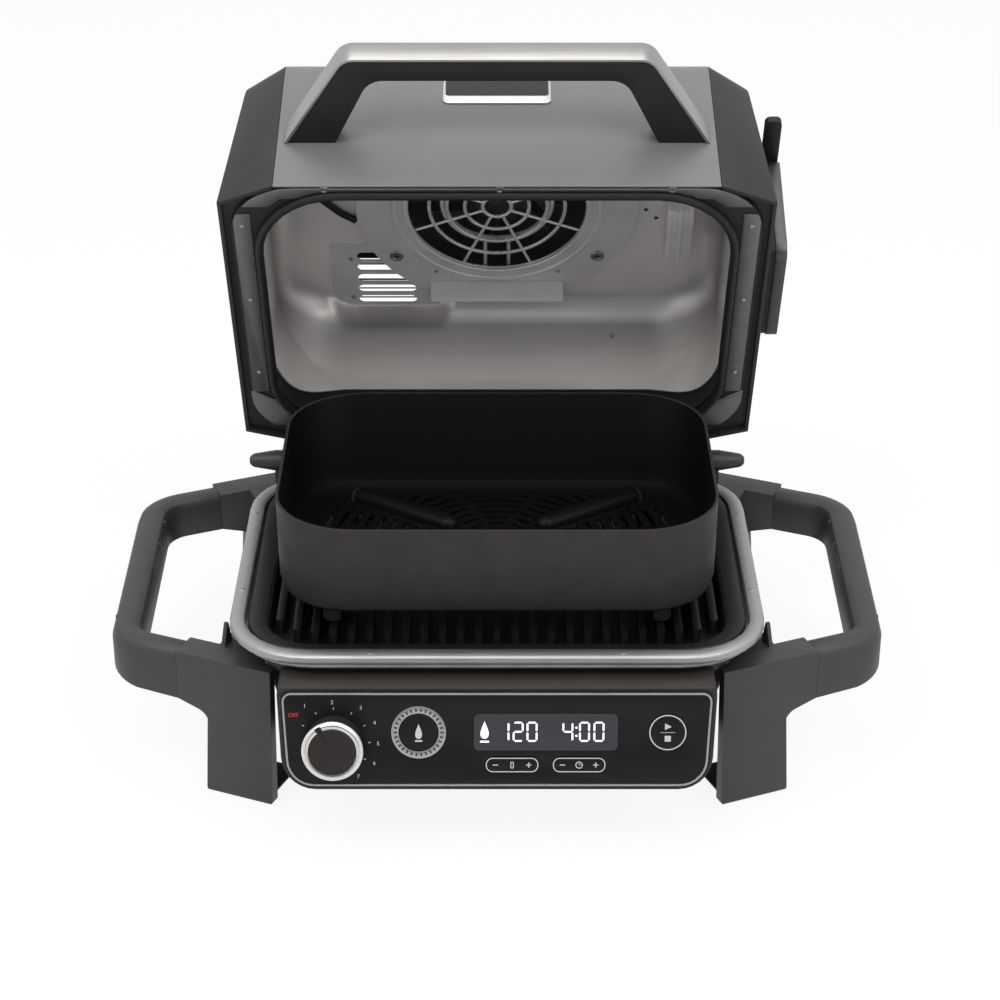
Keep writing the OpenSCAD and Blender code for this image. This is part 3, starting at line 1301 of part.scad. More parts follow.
// One line per piece
trim_ring();
inner_pot();
base_shell();
heating_element();
element_brackets();
temperature_probe();
grill_plate();
crisper_basket();
front_leg_left();
front_leg_right();
rear_leg_left();
rear_leg_right();
grip_left();
grip_right();
rubber_feet();
panel_housing();
fascia();
fascia_bezel();
display_window();
control_board();
encoder_shaft();
knob();
knob_ring();
flavour_ring();
flavour_button();
temp_rocker();
time_rocker();
start_stop_button();
rear_housing();
hinge_barrels();
hinge_pins();
cord_gland();
tray_rails();
grease_tray();
lid_panel();
lid_cap_left();
lid_cap_right();
lid_rear_cover();
lid_frame();
lid_liner();
lid_seal();
lid_flange();
lid_screws();
hinge_arms();
fan_plate();
fan_guard();
lid_heater();
fan_shroud();
fan_motor();
fan_wheel();
exhaust_vent();
deflector();
smoke_duct();
handle_core();
handle_strap();
badge_plate();
smoke_box();
smoke_trim();
smoke_door();
pellet_basket();
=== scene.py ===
# %% [markdown]
# # Electric outdoor grill
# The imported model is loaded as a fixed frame, with each solid on the body that carries it. Each step
# below then adds the look of one part of the object: first the camera and the light, then the finishes,
# and then the small pieces and prints that the solids leave out.

# %% Load the frame
import bpy, bmesh, json, math
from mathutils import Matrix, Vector

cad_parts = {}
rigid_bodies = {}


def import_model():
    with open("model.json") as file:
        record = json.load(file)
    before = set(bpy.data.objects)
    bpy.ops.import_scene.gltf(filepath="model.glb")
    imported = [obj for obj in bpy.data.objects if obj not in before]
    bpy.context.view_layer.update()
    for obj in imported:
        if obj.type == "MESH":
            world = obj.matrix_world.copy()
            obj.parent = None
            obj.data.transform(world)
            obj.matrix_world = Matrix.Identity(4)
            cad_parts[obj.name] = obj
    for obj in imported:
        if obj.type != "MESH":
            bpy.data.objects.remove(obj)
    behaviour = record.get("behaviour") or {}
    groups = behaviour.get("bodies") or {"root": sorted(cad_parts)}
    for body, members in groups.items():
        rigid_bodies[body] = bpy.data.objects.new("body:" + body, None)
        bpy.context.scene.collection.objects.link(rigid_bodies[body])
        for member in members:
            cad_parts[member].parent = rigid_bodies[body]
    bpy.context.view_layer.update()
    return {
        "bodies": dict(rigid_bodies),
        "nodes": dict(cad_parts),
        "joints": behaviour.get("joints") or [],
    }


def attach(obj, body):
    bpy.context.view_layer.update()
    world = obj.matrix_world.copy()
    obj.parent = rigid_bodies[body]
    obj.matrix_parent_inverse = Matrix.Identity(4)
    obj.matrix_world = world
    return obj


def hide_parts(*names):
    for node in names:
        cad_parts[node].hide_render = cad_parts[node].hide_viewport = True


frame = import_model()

NODES, BODIES = frame["nodes"], frame["bodies"]

# %% [markdown]
# Four frames place everything: the hob's, the lid's as if it were shut, the fascia's and that of the
# lid's front panel. Sizes could be typed in world metres, but a lid that stands open at 64 degrees would
# then need slanted numbers. So each frame is a small function from millimetres to the world, anchored at
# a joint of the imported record.

# %% Frames
JOINTS = {j["name"]: j for j in frame["joints"]}
HINGE = Vector(JOINTS["lid_hinge"]["pos_m"])
HINGE_AT = (343, -1)
KNOB = Vector(JOINTS["mode_knob"]["pos_m"])
KNOB_AT = (-122, 33)
FASCIA_FACE = 2.5
OUT = -Vector(JOINTS["mode_knob"]["axis"])
UP = OUT.cross(Vector((1, 0, 0)))
OPEN = math.radians(64)
LEAN = math.radians(10)
PANEL_FOOT = (8, 4)
MM = 0.001

def hob(x, y, z):
    return HINGE + Vector((x, y - HINGE_AT[0], z - HINGE_AT[1])) * MM

def lid(x, y, z):
    a, b = y - HINGE_AT[0], z - HINGE_AT[1]
    c, s = math.cos(OPEN), math.sin(OPEN)
    return HINGE + Vector((x, a * c + b * s, b * c - a * s)) * MM

def dash(x, up, out):
    across = Vector((x - KNOB_AT[0], 0, 0))
    return KNOB + (across + UP * (up - KNOB_AT[1]) + OUT * (out - FASCIA_FACE)) * MM

def front(x, up, out):
    c, s = math.cos(LEAN), math.sin(LEAN)
    return lid(x, PANEL_FOOT[0] + up * s - out * c, PANEL_FOOT[1] + up * c + out * s)

print("hinge at", [round(c, 3) for c in HINGE], "knob at", [round(c, 3) for c in KNOB])

# %% [markdown]
# The camera stands where the photograph was taken: in front and above, looking 27 degrees down. A Track
# To constraint could aim it, but one angle is all it needs. Its lens is long, so the sides of the object
# stay nearly parallel.

# %% Camera
EYE_AT = (0, -1598, 962)
LOOK_DOWN = 27.3
LENS, SENSOR = 90, 36
SHIFT = 0.003
FAR_M = 20
cam = bpy.data.cameras.new("camera")
cam.lens, cam.sensor_width, cam.sensor_fit = LENS, SENSOR, "HORIZONTAL"
cam.shift_x = SHIFT
cam.clip_end = FAR_M
eye = bpy.data.objects.new("camera", cam)
eye.location = hob(*EYE_AT)
eye.rotation_euler = (math.radians(90 - LOOK_DOWN), 0, 0)
bpy.context.scene.collection.objects.link(eye)
bpy.context.scene.camera = eye
bpy.context.scene.view_settings.view_transform = "Standard"
print("camera at", [round(c, 3) for c in eye.location])

# %% [markdown]
# The object stands on white paper in a white studio. More light would bleach the object along with the
# paper, so the world is simply shown white to the camera and in reflections, through the Light Path node,
# and lights the object at a plain level.

# %% White studio
WHITE = (1, 1, 1, 1)
SKY, SKY_STRENGTH = (0.92, 0.95, 1.0, 1), 0.5

def backdrop(nt, plain, white):
    """Shows one shader to the camera and in reflections, and the plain one to all other rays."""
    path = nt.nodes.new("ShaderNodeLightPath")
    seen = path.outputs["Is Camera Ray"]
    for ray in ("Is Glossy Ray", "Is Transmission Ray"):
        either = nt.nodes.new("ShaderNodeMath")
        either.operation = "MAXIMUM"
        nt.links.new(seen, either.inputs[0])
        nt.links.new(path.outputs[ray], either.inputs[1])
        seen = either.outputs[0]
    mix = nt.nodes.new("ShaderNodeMixShader")
    nt.links.new(seen, mix.inputs[0])
    nt.links.new(plain, mix.inputs[1])
    nt.links.new(white, mix.inputs[2])
    return mix.outputs[0]

world = bpy.data.worlds.new("studio")
bpy.context.scene.world = world
world.use_nodes = True
nt = world.node_tree
soft = nt.nodes["Background"]
soft.inputs["Color"].default_value = SKY
soft.inputs["Strength"].default_value = SKY_STRENGTH
bright = nt.nodes.new("ShaderNodeBackground")
bright.inputs["Color"].default_value = WHITE
nt.links.new(backdrop(nt, soft.outputs[0], bright.outputs[0]), nt.nodes["World Output"].inputs["Surface"])
print("white studio with a sky of strength", SKY_STRENGTH)

# %% [markdown]
# The paper is one large square. It is shown white in the same way as the world, as a glow, but a glow
# takes no shadow. So a small share of real paper is mixed in, and that share holds the shadow of the
# object.

# %% Paper floor
FLOOR_HALF = 14
PAPER = (0.93, 0.93, 0.93, 1)
PAPER_ROUGH, PAPER_SHARE = 0.9, 0.10
bm = bmesh.new()
bmesh.ops.create_grid(bm, x_segments=1, y_segments=1, size=FLOOR_HALF)
mesh = bpy.data.meshes.new("floor")
bm.to_mesh(mesh)
bm.free()
floor = bpy.data.objects.new("floor", mesh)
bpy.context.scene.collection.objects.link(floor)
m = bpy.data.materials.new("paper")
m.use_nodes = True
mesh.materials.append(m)
nt = m.node_tree
paper = nt.nodes["Principled BSDF"]
paper.inputs["Base Color"].default_value = PAPER
paper.inputs["Roughness"].default_value = PAPER_ROUGH
paper.inputs["Specular IOR Level"].default_value = 0.0
glow = nt.nodes.new("ShaderNodeEmission")
share = nt.nodes.new("ShaderNodeMixShader")
share.inputs[0].default_value = PAPER_SHARE
nt.links.new(glow.outputs[0], share.inputs[1])
nt.links.new(paper.outputs[0], share.inputs[2])
nt.links.new(backdrop(nt, paper.outputs[0], share.outputs[0]), nt.nodes["Material Output"].inputs["Surface"])
print("paper", 2 * FLOOR_HALF, "m wide")

# %% [markdown]
# Four large square lamps give soft shadows and broad highlights on the steel, as soft boxes do. Point
# lamps would be simpler, but their shadows are hard and their highlights are dots. The low lamp lights
# the front, and is kept out of reflections so that it doesn't show in the steel.

# %% Lamps
def lamp(name, at, aim, size, watts):
    d = bpy.data.lights.new(name, "AREA")
    d.shape, d.size, d.energy = "SQUARE", size, watts
    o = bpy.data.objects.new(name, d)
    o.location = at
    o.rotation_euler = (Vector(aim) - Vector(at)).to_track_quat("-Z", "Y").to_euler()
    bpy.context.scene.collection.objects.link(o)
    return o

lamp("key", (-1.1, -1.35, 2.45), (0, 0, 0.2), 1.4, 34)
lamp("fill", (1.3, -1.3, 2.1), (0, 0, 0.25), 1.6, 26)
lamp("top", (0, 0.4, 2.6), (0, 0.05, 0.2), 1.6, 20)
low = lamp("low", (0, -2.4, 0.7), (0, 0, 0.2), 1.2, 10)
low.visible_glossy = False
print("four lamps")

# %% [markdown]
# White walls all round would bleach the steel, so a studio hangs a dark card where the metal should look
# dark. This one stands in front, behind the camera's place. Only reflections see it: it takes no light
# from the object.

# %% Black card
CARD_AT, CARD_HALF = (0, -2.7, 0.9), (1.5, 0.95)
CARD_TONE = (0.10, 0.10, 0.10, 1)
corners = [(CARD_AT[0] + x * CARD_HALF[0], CARD_AT[1], CARD_AT[2] + z * CARD_HALF[1])
           for x, z in ((-1, -1), (1, -1), (1, 1), (-1, 1))]
mesh = bpy.data.meshes.new("black_card")
mesh.from_pydata(corners, [], [[0, 1, 2, 3]])
card = bpy.data.objects.new("black_card", mesh)
bpy.context.scene.collection.objects.link(card)
card.visible_camera = card.visible_diffuse = card.visible_shadow = card.visible_transmission = False
m = bpy.data.materials.new("black_card")
m.use_nodes = True
matt = m.node_tree.nodes["Principled BSDF"]
matt.inputs["Base Color"].default_value = CARD_TONE
matt.inputs["Specular IOR Level"].default_value = 0.0
mesh.materials.append(m)
print("black card", 2 * CARD_HALF[0], "m wide")

# %% [markdown]
# Every finish has two noises: a broad one that mottles its colour, and a fine one that varies its
# roughness and its grain. An image would tile and stretch, and noise in the object's own space does
# neither. On brushed metal the fine noise is drawn out along the brushing. What is the same all over
# stays on the shader's own sockets.

# %% Mottle and grain
NOISE_LOW, NOISE_HIGH = 0.3, 0.7
BROAD_DETAIL, FINE_DETAIL = 5, 3
MIN_ROUGH = 0.02

def mottled(nt, p, where, color, mottle, scale):
    """Lets a broad noise move the colour a little darker and lighter."""
    broad = nt.nodes.new("ShaderNodeTexNoise")
    broad.inputs["Scale"].default_value = scale
    broad.inputs["Detail"].default_value = BROAD_DETAIL
    nt.links.new(where, broad.inputs["Vector"])
    ramp = nt.nodes.new("ShaderNodeValToRGB")
    low, high = ramp.color_ramp.elements
    low.position, high.position = NOISE_LOW, NOISE_HIGH
    low.color = [c * (1 - mottle) for c in color] + [1]
    high.color = [min(c * (1 + mottle), 1) for c in color] + [1]
    nt.links.new(broad.outputs["Fac"], ramp.inputs["Fac"])
    nt.links.new(ramp.outputs["Color"], p.inputs["Base Color"])

def grained(nt, p, where, rough, spread, grain, scale, stretch, depth):
    """Lets a fine noise vary the roughness and raise a grain."""
    lay = nt.nodes.new("ShaderNodeMapping")
    lay.inputs["Scale"].default_value = stretch
    nt.links.new(where, lay.inputs["Vector"])
    fine = nt.nodes.new("ShaderNodeTexNoise")
    fine.inputs["Scale"].default_value = scale
    fine.inputs["Detail"].default_value = FINE_DETAIL
    nt.links.new(lay.outputs["Vector"], fine.inputs["Vector"])
    span = nt.nodes.new("ShaderNodeMapRange")
    span.inputs["From Min"].default_value = NOISE_LOW
    span.inputs["From Max"].default_value = NOISE_HIGH
    span.inputs["To Min"].default_value = max(rough - spread, MIN_ROUGH)
    span.inputs["To Max"].default_value = rough + spread
    nt.links.new(fine.outputs["Fac"], span.inputs["Value"])
    nt.links.new(span.outputs["Result"], p.inputs["Roughness"])
    bump = nt.nodes.new("ShaderNodeBump")
    bump.inputs["Strength"].default_value = grain
    bump.inputs["Distance"].default_value = depth
    nt.links.new(fine.outputs["Fac"], bump.inputs["Height"])
    nt.links.new(bump.outputs["Normal"], p.inputs["Normal"])

print("both noises run from", NOISE_LOW, "to", NOISE_HIGH)

# %% [markdown]
# One function then makes every finish of the grill from its colour, its roughness and the two noises.
# Separate node trees would give more freedom, but one recipe makes the finishes easy to compare and to
# tune.

# %% Maker of finishes
GRAIN_M = 0.0002

def finish(name, color, rough, metallic=0.0, mottle=0.08, mottle_scale=30, grain=0.15, grain_scale=1500,
           stretch=(1, 1, 1), spread=0.08, specular=0.5, lit=0.0):
    """A colour, a roughness, and how far and how finely the two noises change them."""
    m = bpy.data.materials.new(name)
    m.use_nodes = True
    nt = m.node_tree
    p = nt.nodes["Principled BSDF"]
    p.inputs["Metallic"].default_value = metallic
    p.inputs["Specular IOR Level"].default_value = specular
    p.inputs["Emission Color"].default_value = (*color, 1)
    p.inputs["Emission Strength"].default_value = lit
    where = nt.nodes.new("ShaderNodeTexCoord").outputs["Object"]
    mottled(nt, p, where, color, mottle, mottle_scale)
    grained(nt, p, where, rough, spread, grain, grain_scale, stretch, GRAIN_M)
    return m

print("the grain is at most", GRAIN_M / MM, "mm deep")

# %% [markdown]
# The metals: a brushed trim ring, a pressed steel liner, bright straps and wire, and duller sheet inside
# the lid. They differ in tone and in roughness more than in hue, and only the brushed ones have a
# direction. Each line gives the colour, the roughness, how metallic it is, and then the depth and the
# scale of the broad and of the fine noise.

# %% Metals
ALONG_X = (0.02, 1, 1)
MATS = {
    "ring": finish("ring_steel", (0.37, 0.36, 0.35), 0.48, 1.0, 0.05, 20, 0.04, 700, ALONG_X),
    "liner": finish("liner_steel", (0.88, 0.845, 0.825), 0.36, 0.65, 0.04, 14, 0.01, 300, ALONG_X,
                    spread=0.03),
    "strap": finish("strap_steel", (0.35, 0.34, 0.33), 0.38, 1.0, 0.05, 18, 0.08, 700, ALONG_X),
    "sheet": finish("sheet_steel", (0.62, 0.60, 0.58), 0.38, 0.5, 0.08, 25, 0.08, 500),
    "flange": finish("flange_steel", (0.20, 0.196, 0.192), 0.52, 1.0, 0.08, 40, 0.08, 700),
    "wire": finish("wire_steel", (0.72, 0.70, 0.68), 0.32, 0.7, 0.08, 60, 0.06, 900),
    "dull": finish("dull_steel", (0.20, 0.20, 0.20), 0.45, 1.0, 0.10, 40, 0.10, 700),
    "trim": finish("trim_silver", (0.46, 0.455, 0.445), 0.42, 1.0, 0.05, 60, 0.05, 900),
    "edge": finish("edge_silver", (0.11, 0.11, 0.11), 0.50, 1.0, 0.05, 60, 0.05, 900),
    "folded": finish("folded_steel", (0.70, 0.68, 0.67), 0.45, 0.5, 0.06, 40, 0.06, 700),
    "chrome": finish("bright_ring", (0.72, 0.71, 0.69), 0.26, 1.0, 0.05, 60, 0.004, 300, spread=0.02),
    "element": finish("element_sheath", (0.06, 0.055, 0.055), 0.55, 0.4, 0.20, 60, 0.15, 1200),
    "motor": finish("motor_case", (0.12, 0.12, 0.125), 0.5, 0.6, 0.10, 60, 0.10, 900),
}
print(len(MATS), "metals")

# %% [markdown]
# The rest is coated, painted or moulded. The cooking coat is nearly black and a little glossy, the lid is
# painted a neutral grey, and the plastics are a warm black with the fine spark-eroded grain of a mould.

# %% Coats and plastics
MATS |= {
    "plate": finish("plate_coat", (0.006, 0.006, 0.006), 0.38, 0.0, 0.15, 90, 0.30, 900, specular=0.25),
    "basket": finish("basket_coat", (0.031, 0.028, 0.026), 0.42, 0.0, 0.10, 50, 0.18, 1400, specular=0.1),
    "paint": finish("grey_paint", (0.148, 0.150, 0.150), 0.42, 0.0, 0.04, 25, 0.10, 1800),
    "plastic": finish("warm_plastic", (0.029, 0.026, 0.025), 0.52, 0.0, 0.08, 40, 0.28, 1700),
    "cap": finish("cap_plastic", (0.019, 0.0165, 0.016), 0.52, 0.0, 0.08, 40, 0.28, 1700, specular=0.35),
    "black": finish("black_plastic", (0.010, 0.0095, 0.009), 0.50, 0.0, 0.10, 40, 0.25, 1600, specular=0.25),
    "housing": finish("housing_plastic", (0.026, 0.0215, 0.0195), 0.46, 0.0, 0.08, 35, 0.20, 1500,
                      specular=0.25),
    "knob": finish("knob_plastic", (0.020, 0.0155, 0.0140), 0.50, 0.0, 0.08, 60, 0.15, 1500, specular=0.2),
    "gloss": finish("gloss_black", (0.009, 0.0087, 0.0087), 0.35, 0.0, 0.06, 25, 0.02, 900, spread=0.03,
                    specular=0.15),
    "rubber": finish("seal_rubber", (0.008, 0.0075, 0.0075), 0.60, 0.0, 0.12, 60, 0.20, 900, specular=0.3),
    "board": finish("board_green", (0.015, 0.10, 0.04), 0.5, 0.0, 0.15, 120, 0.10, 900),
    "window": finish("display_lens", (0.036, 0.0355, 0.0425), 0.35, 0.0, 0.05, 30, 0.02, 900,
                     spread=0.03, specular=0.15),
    "ink": finish("pale_ink", (0.43, 0.43, 0.43), 0.55, 0.0, 0.05, 200, 0.05, 2000, specular=0.2),
    "red_ink": finish("red_ink", (0.55, 0.035, 0.03), 0.55, 0.0, 0.05, 200, 0.05, 2000, specular=0.2),
    # The dark ink also serves as painted shade, in the crosses of the screw heads.
    "dark_ink_and_shade": finish("dark_ink_and_shade", (0.030, 0.029, 0.029), 0.55, 0.0, 0.05, 200, 0.05, 2000, specular=0.2),
    "lit": finish("lit_segment", (0.80, 0.80, 0.84), 0.5, 0.0, 0.02, 200, 0.02, 2000, specular=0.1, lit=0.45),
}
print(len(MATS), "finishes in all")

# %% [markdown]
# The crisper basket's inside is given painted shade: the shader darkens it to nearly black, and the
# outside keeps the grey coat. One piece can wear two materials face by face, but the solid's mesh is
# left alone here, so the shader tells the sides apart: inside, the surface faces the basket's middle.

# %% Painted shade inside the basket
def away_from(nt, point):
    """The vector from a fixed point to the shaded one, in the object's own space."""
    where = nt.nodes.new("ShaderNodeTexCoord")
    away = nt.nodes.new("ShaderNodeVectorMath")
    away.operation = "SUBTRACT"
    away.inputs[1].default_value = point
    nt.links.new(where.outputs["Object"], away.inputs[0])
    return away.outputs["Vector"]

def painted_shade_inside(m, inner, middle):
    """Gives a colour of painted shade to each surface that faces a point in the middle."""
    nt = m.node_tree
    base = nt.nodes["Principled BSDF"].inputs["Base Color"]
    outer = base.links[0].from_socket
    where = nt.nodes.new("ShaderNodeTexCoord")
    facing = nt.nodes.new("ShaderNodeVectorMath")
    facing.operation = "DOT_PRODUCT"
    nt.links.new(where.outputs["Normal"], facing.inputs[0])
    nt.links.new(away_from(nt, middle), facing.inputs[1])
    inside = nt.nodes.new("ShaderNodeMath")
    inside.operation = "LESS_THAN"
    inside.inputs[1].default_value = 0.0
    nt.links.new(facing.outputs["Value"], inside.inputs[0])
    mix = nt.nodes.new("ShaderNodeMix")
    mix.data_type = "RGBA"
    mix.inputs["B"].default_value = (*inner, 1)
    nt.links.new(inside.outputs[0], mix.inputs["Factor"])
    nt.links.new(outer, mix.inputs["A"])
    nt.links.new(mix.outputs["Result"], base)

BASKET_MIDDLE = hob(0, 167.5, 60)
# Painted shade: the inside of the basket is coloured nearly black, as if shaded by its walls.
BASKET_PAINTED_SHADE = (0.0045, 0.004, 0.0035)
painted_shade_inside(MATS["basket"], BASKET_PAINTED_SHADE, BASKET_MIDDLE)
print("basket darker inside")

# %% [markdown]
# The liner's steel carries painted shade: a tint that darkens the round below the ceiling, and leaves
# the mouth and the ceiling bright. Its tint follows the height in the lid's own frame, so that it stays
# with the lid: a dot product with the lid's upward axis gives that height.

# %% Painted shade on the liner
def painted_shade_ramp(m, low, high, tints):
    """Multiplies the base colour by painted shade that runs along the lid's height in millimetres."""
    nt = m.node_tree
    base = nt.nodes["Principled BSDF"].inputs["Base Color"]
    steel = base.links[0].from_socket
    height = nt.nodes.new("ShaderNodeVectorMath")
    height.operation = "DOT_PRODUCT"
    height.inputs[1].default_value = (lid(0, 0, 1) - lid(0, 0, 0)) / MM
    nt.links.new(away_from(nt, lid(0, 0, 0)), height.inputs[0])
    share = nt.nodes.new("ShaderNodeMapRange")
    share.inputs["From Min"].default_value = low * MM
    share.inputs["From Max"].default_value = high * MM
    nt.links.new(height.outputs["Value"], share.inputs["Value"])
    ramp = nt.nodes.new("ShaderNodeValToRGB")
    for place, tint in tints[1:-1]:
        ramp.color_ramp.elements.new(place)
    for stop, (place, tint) in zip(ramp.color_ramp.elements, tints):
        stop.position, stop.color = place, (tint, tint, tint, 1)
    nt.links.new(share.outputs["Result"], ramp.inputs["Fac"])
    mix = nt.nodes.new("ShaderNodeMix")
    mix.data_type, mix.blend_type = "RGBA", "MULTIPLY"
    mix.inputs["Factor"].default_value = 1.0
    nt.links.new(steel, mix.inputs["A"])
    nt.links.new(ramp.outputs["Color"], mix.inputs["B"])
    nt.links.new(mix.outputs["Result"], base)

SHADE_LOW, SHADE_HIGH = 40, 126
# Painted shade: the tint falls to 0.34 in the round below the ceiling and is 1 at the mouth and ceiling.
PAINTED_SHADE_TINTS = [(0.0, 1.0), (0.35, 0.80), (0.74, 0.34), (0.93, 0.70), (1.0, 1.0)]
painted_shade_ramp(MATS["liner"], SHADE_LOW, SHADE_HIGH, PAINTED_SHADE_TINTS)
print("liner tinted from", SHADE_LOW, "to", SHADE_HIGH, "mm up in the lid")

# %% [markdown]
# Each solid keeps its shape and takes one finish. A table from finish to solids reads like a parts list,
# and a count at the end shows whether one was forgotten.

# %% Dress the solids
WEARS = {
    "ring": ["trim_ring", "grease_tray"],
    "liner": ["lid_liner"],
    "strap": ["handle_strap", "lid_screws"],
    "trim": ["fascia_bezel", "flavour_ring", "badge_plate"],
    "edge": ["smoke_trim"],
    "folded": ["deflector", "smoke_duct"],
    "sheet": ["fan_plate", "exhaust_vent", "pellet_basket"],
    "flange": ["lid_flange"],
    "wire": ["fan_guard", "lid_heater"],
    "dull": ["inner_pot", "element_brackets", "temperature_probe", "tray_rails", "hinge_arms", "hinge_pins",
             "encoder_shaft", "fan_shroud", "fan_wheel"],
    "element": ["heating_element"],
    "plate": ["grill_plate"],
    "basket": ["crisper_basket"],
    "paint": ["lid_panel"],
    "plastic": ["front_leg_left", "front_leg_right", "rear_leg_left", "rear_leg_right", "grip_left",
                "grip_right", "hinge_barrels"],
    "cap": ["lid_cap_left", "lid_cap_right", "lid_rear_cover"],
    "black": ["base_shell", "rear_housing", "cord_gland", "lid_frame", "smoke_box", "smoke_door",
              "handle_core"],
    "housing": ["panel_housing"],
    "knob": ["knob"],
    "gloss": ["fascia", "flavour_button", "temp_rocker", "time_rocker", "start_stop_button"],
    "rubber": ["rubber_feet", "lid_seal"],
    "chrome": ["knob_ring"],
    "board": ["control_board"],
    "motor": ["fan_motor"],
    "window": ["display_window"],
}

def wear(o, key):
    o.data.materials.clear()
    o.data.materials.append(MATS[key])

for key, names in WEARS.items():
    for n in names:
        wear(NODES[n], key)
print(sum(len(v) for v in WEARS.values()), "of", len(NODES), "solids have a finish")

# %% [markdown]
# A round side of a solid is a row of flat faces, and should shade as one curve. Shading all of it smooth
# would smear the light over the real edges too. So a small group of geometry nodes smooths only the edges
# that are nearly flat, and all pieces share it.

# %% Smooth sides
FLAT_ANGLE = math.radians(28)

def smooth_sides():
    g = bpy.data.node_groups.new("smooth_sides", "GeometryNodeTree")
    for way in ("INPUT", "OUTPUT"):
        g.interface.new_socket("Geometry", in_out=way, socket_type="NodeSocketGeometry")
    start, end = g.nodes.new("NodeGroupInput"), g.nodes.new("NodeGroupOutput")
    angle = g.nodes.new("GeometryNodeInputMeshEdgeAngle")
    flat = g.nodes.new("FunctionNodeCompare")
    flat.operation = "LESS_THAN"
    flat.inputs[1].default_value = FLAT_ANGLE
    faces = g.nodes.new("GeometryNodeSetShadeSmooth")
    faces.domain = "FACE"
    edges = g.nodes.new("GeometryNodeSetShadeSmooth")
    edges.domain = "EDGE"
    g.links.new(start.outputs[0], faces.inputs["Geometry"])
    g.links.new(angle.outputs["Unsigned Angle"], flat.inputs[0])
    g.links.new(faces.outputs["Geometry"], edges.inputs["Geometry"])
    g.links.new(flat.outputs[0], edges.inputs["Shade Smooth"])
    g.links.new(edges.outputs["Geometry"], end.inputs[0])
    return g

SMOOTH = smooth_sides()
print("edges under", round(math.degrees(FLAT_ANGLE)), "degrees are smoothed")

# %% [markdown]
# No moulded or pressed part has a perfectly sharp edge, and an edge that is a little round catches the
# light. Rounding the solids themselves would cost many faces in their source, so a Bevel modifier does it
# here. Wire, tubes and the smallest pieces are left as they are.

# %% Soft edges
SHARP_ANGLE = math.radians(32)
WELD_M = 0.00001
EDGE_MM = 0.7
EDGES_MM = {"fan_guard": 0, "lid_screws": 0, "control_board": 0, "element_brackets": 0, "heating_element": 0,
            "lid_heater": 0, "fan_plate": 0, "exhaust_vent": 0.2, "crisper_basket": 0.25, "grill_plate": 0.8,
            "pellet_basket": 0.2, "fan_wheel": 0.2, "lid_liner": 0.3, "fascia_bezel": 0.2,
            "flavour_ring": 0.2, "knob_ring": 0.3, "badge_plate": 0.3, "trim_ring": 0.5}

def soften(o, width):
    weld = o.modifiers.new("weld", "WELD")
    weld.merge_threshold = WELD_M
    if width:
        b = o.modifiers.new("edge", "BEVEL")
        b.width, b.segments, b.limit_method, b.angle_limit = width * MM, 2, "ANGLE", SHARP_ANGLE
        b.miter_outer = "MITER_ARC"
        b.use_clamp_overlap = True
    s = o.modifiers.new("smooth", "NODES")
    s.node_group = SMOOTH

for n, o in NODES.items():
    soften(o, EDGES_MM.get(n, EDGE_MM))
print("edges softened on", len(NODES), "solids")

# %% [markdown]
# Prints, lit segments and screw heads are new pieces. Each is a list of corner points and faces in one of
# the frames, and rides on the body that carries it. A print is a slab a few hundredths of a millimetre
# thick, like real ink, because a lone face would leave an open mesh and flicker against the surface below
# it.

# %% Pieces and prints
INK_MM = 0.05

def piece(name, verts, faces, mat, body, slot):
    mesh = bpy.data.meshes.new(name)
    mesh.from_pydata(verts, [], faces)
    bm = bmesh.new()
    bm.from_mesh(mesh)
    bmesh.ops.recalc_face_normals(bm, faces=bm.faces)
    bm.to_mesh(mesh)
    bm.free()
    o = bpy.data.objects.new(name, mesh)
    bpy.context.scene.collection.objects.link(o)
    wear(o, mat)
    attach(o, body)
    return o

def printed(name, place, shapes, height, mat, body, slot, thick=INK_MM):
    """Slabs over flat outlines, on a frame's surface at a height."""
    verts, faces = [], []
    for shape in shapes:
        n, k = len(shape), len(verts)
        verts += [place(x, y, height + thick) for x, y in shape] + [place(x, y, height) for x, y in shape]
        faces += [list(range(k, k + n)), list(range(k + 2 * n - 1, k + n - 1, -1))]
        faces += [[k + i, k + n + i, k + n + (i + 1) % n, k + (i + 1) % n] for i in range(n)]
    print(name, "has", len(shapes), "shapes")
    return piece(name, verts, faces, mat, body, slot)

print("ink is", INK_MM, "mm thick")

# %% [markdown]
# A print starts as flat outlines, each a short list of points in millimetres. Text objects would do for
# the signs, but they export poorly, so Blender's own font is turned into outlines first.

# %% Strokes and signs
def shifted(shapes, dx, dy):
    return [[(x + dx, y + dy) for x, y in s] for s in shapes]

def bar(x0, y0, x1, y1, w):
    d = Vector((x1 - x0, y1 - y0)).normalized() * w / 2
    return [(x0 - d.y, y0 + d.x), (x0 + d.y, y0 - d.x), (x1 + d.y, y1 - d.x), (x1 - d.y, y1 + d.x)]

def spokes(angles, r0, r1, w):
    """Short bars that point away from the origin."""
    turns = [math.radians(a) for a in angles]
    return [bar(r0 * math.cos(t), r0 * math.sin(t), r1 * math.cos(t), r1 * math.sin(t), w) for t in turns]

def letters(text, size):
    """Flat outlines of plain signs, centred on the origin."""
    c = bpy.data.curves.new("sign", "FONT")
    c.body, c.size, c.align_x, c.align_y = text, size, "CENTER", "CENTER"
    c.resolution_u = 3
    o = bpy.data.objects.new("sign", c)
    mesh = o.to_mesh()
    shapes = [[(mesh.vertices[i].co.x, mesh.vertices[i].co.y) for i in p.vertices] for p in mesh.polygons]
    o.to_mesh_clear()
    bpy.data.objects.remove(o)
    return shapes

print("a plain zero has", len(letters("0", 1)), "faces")
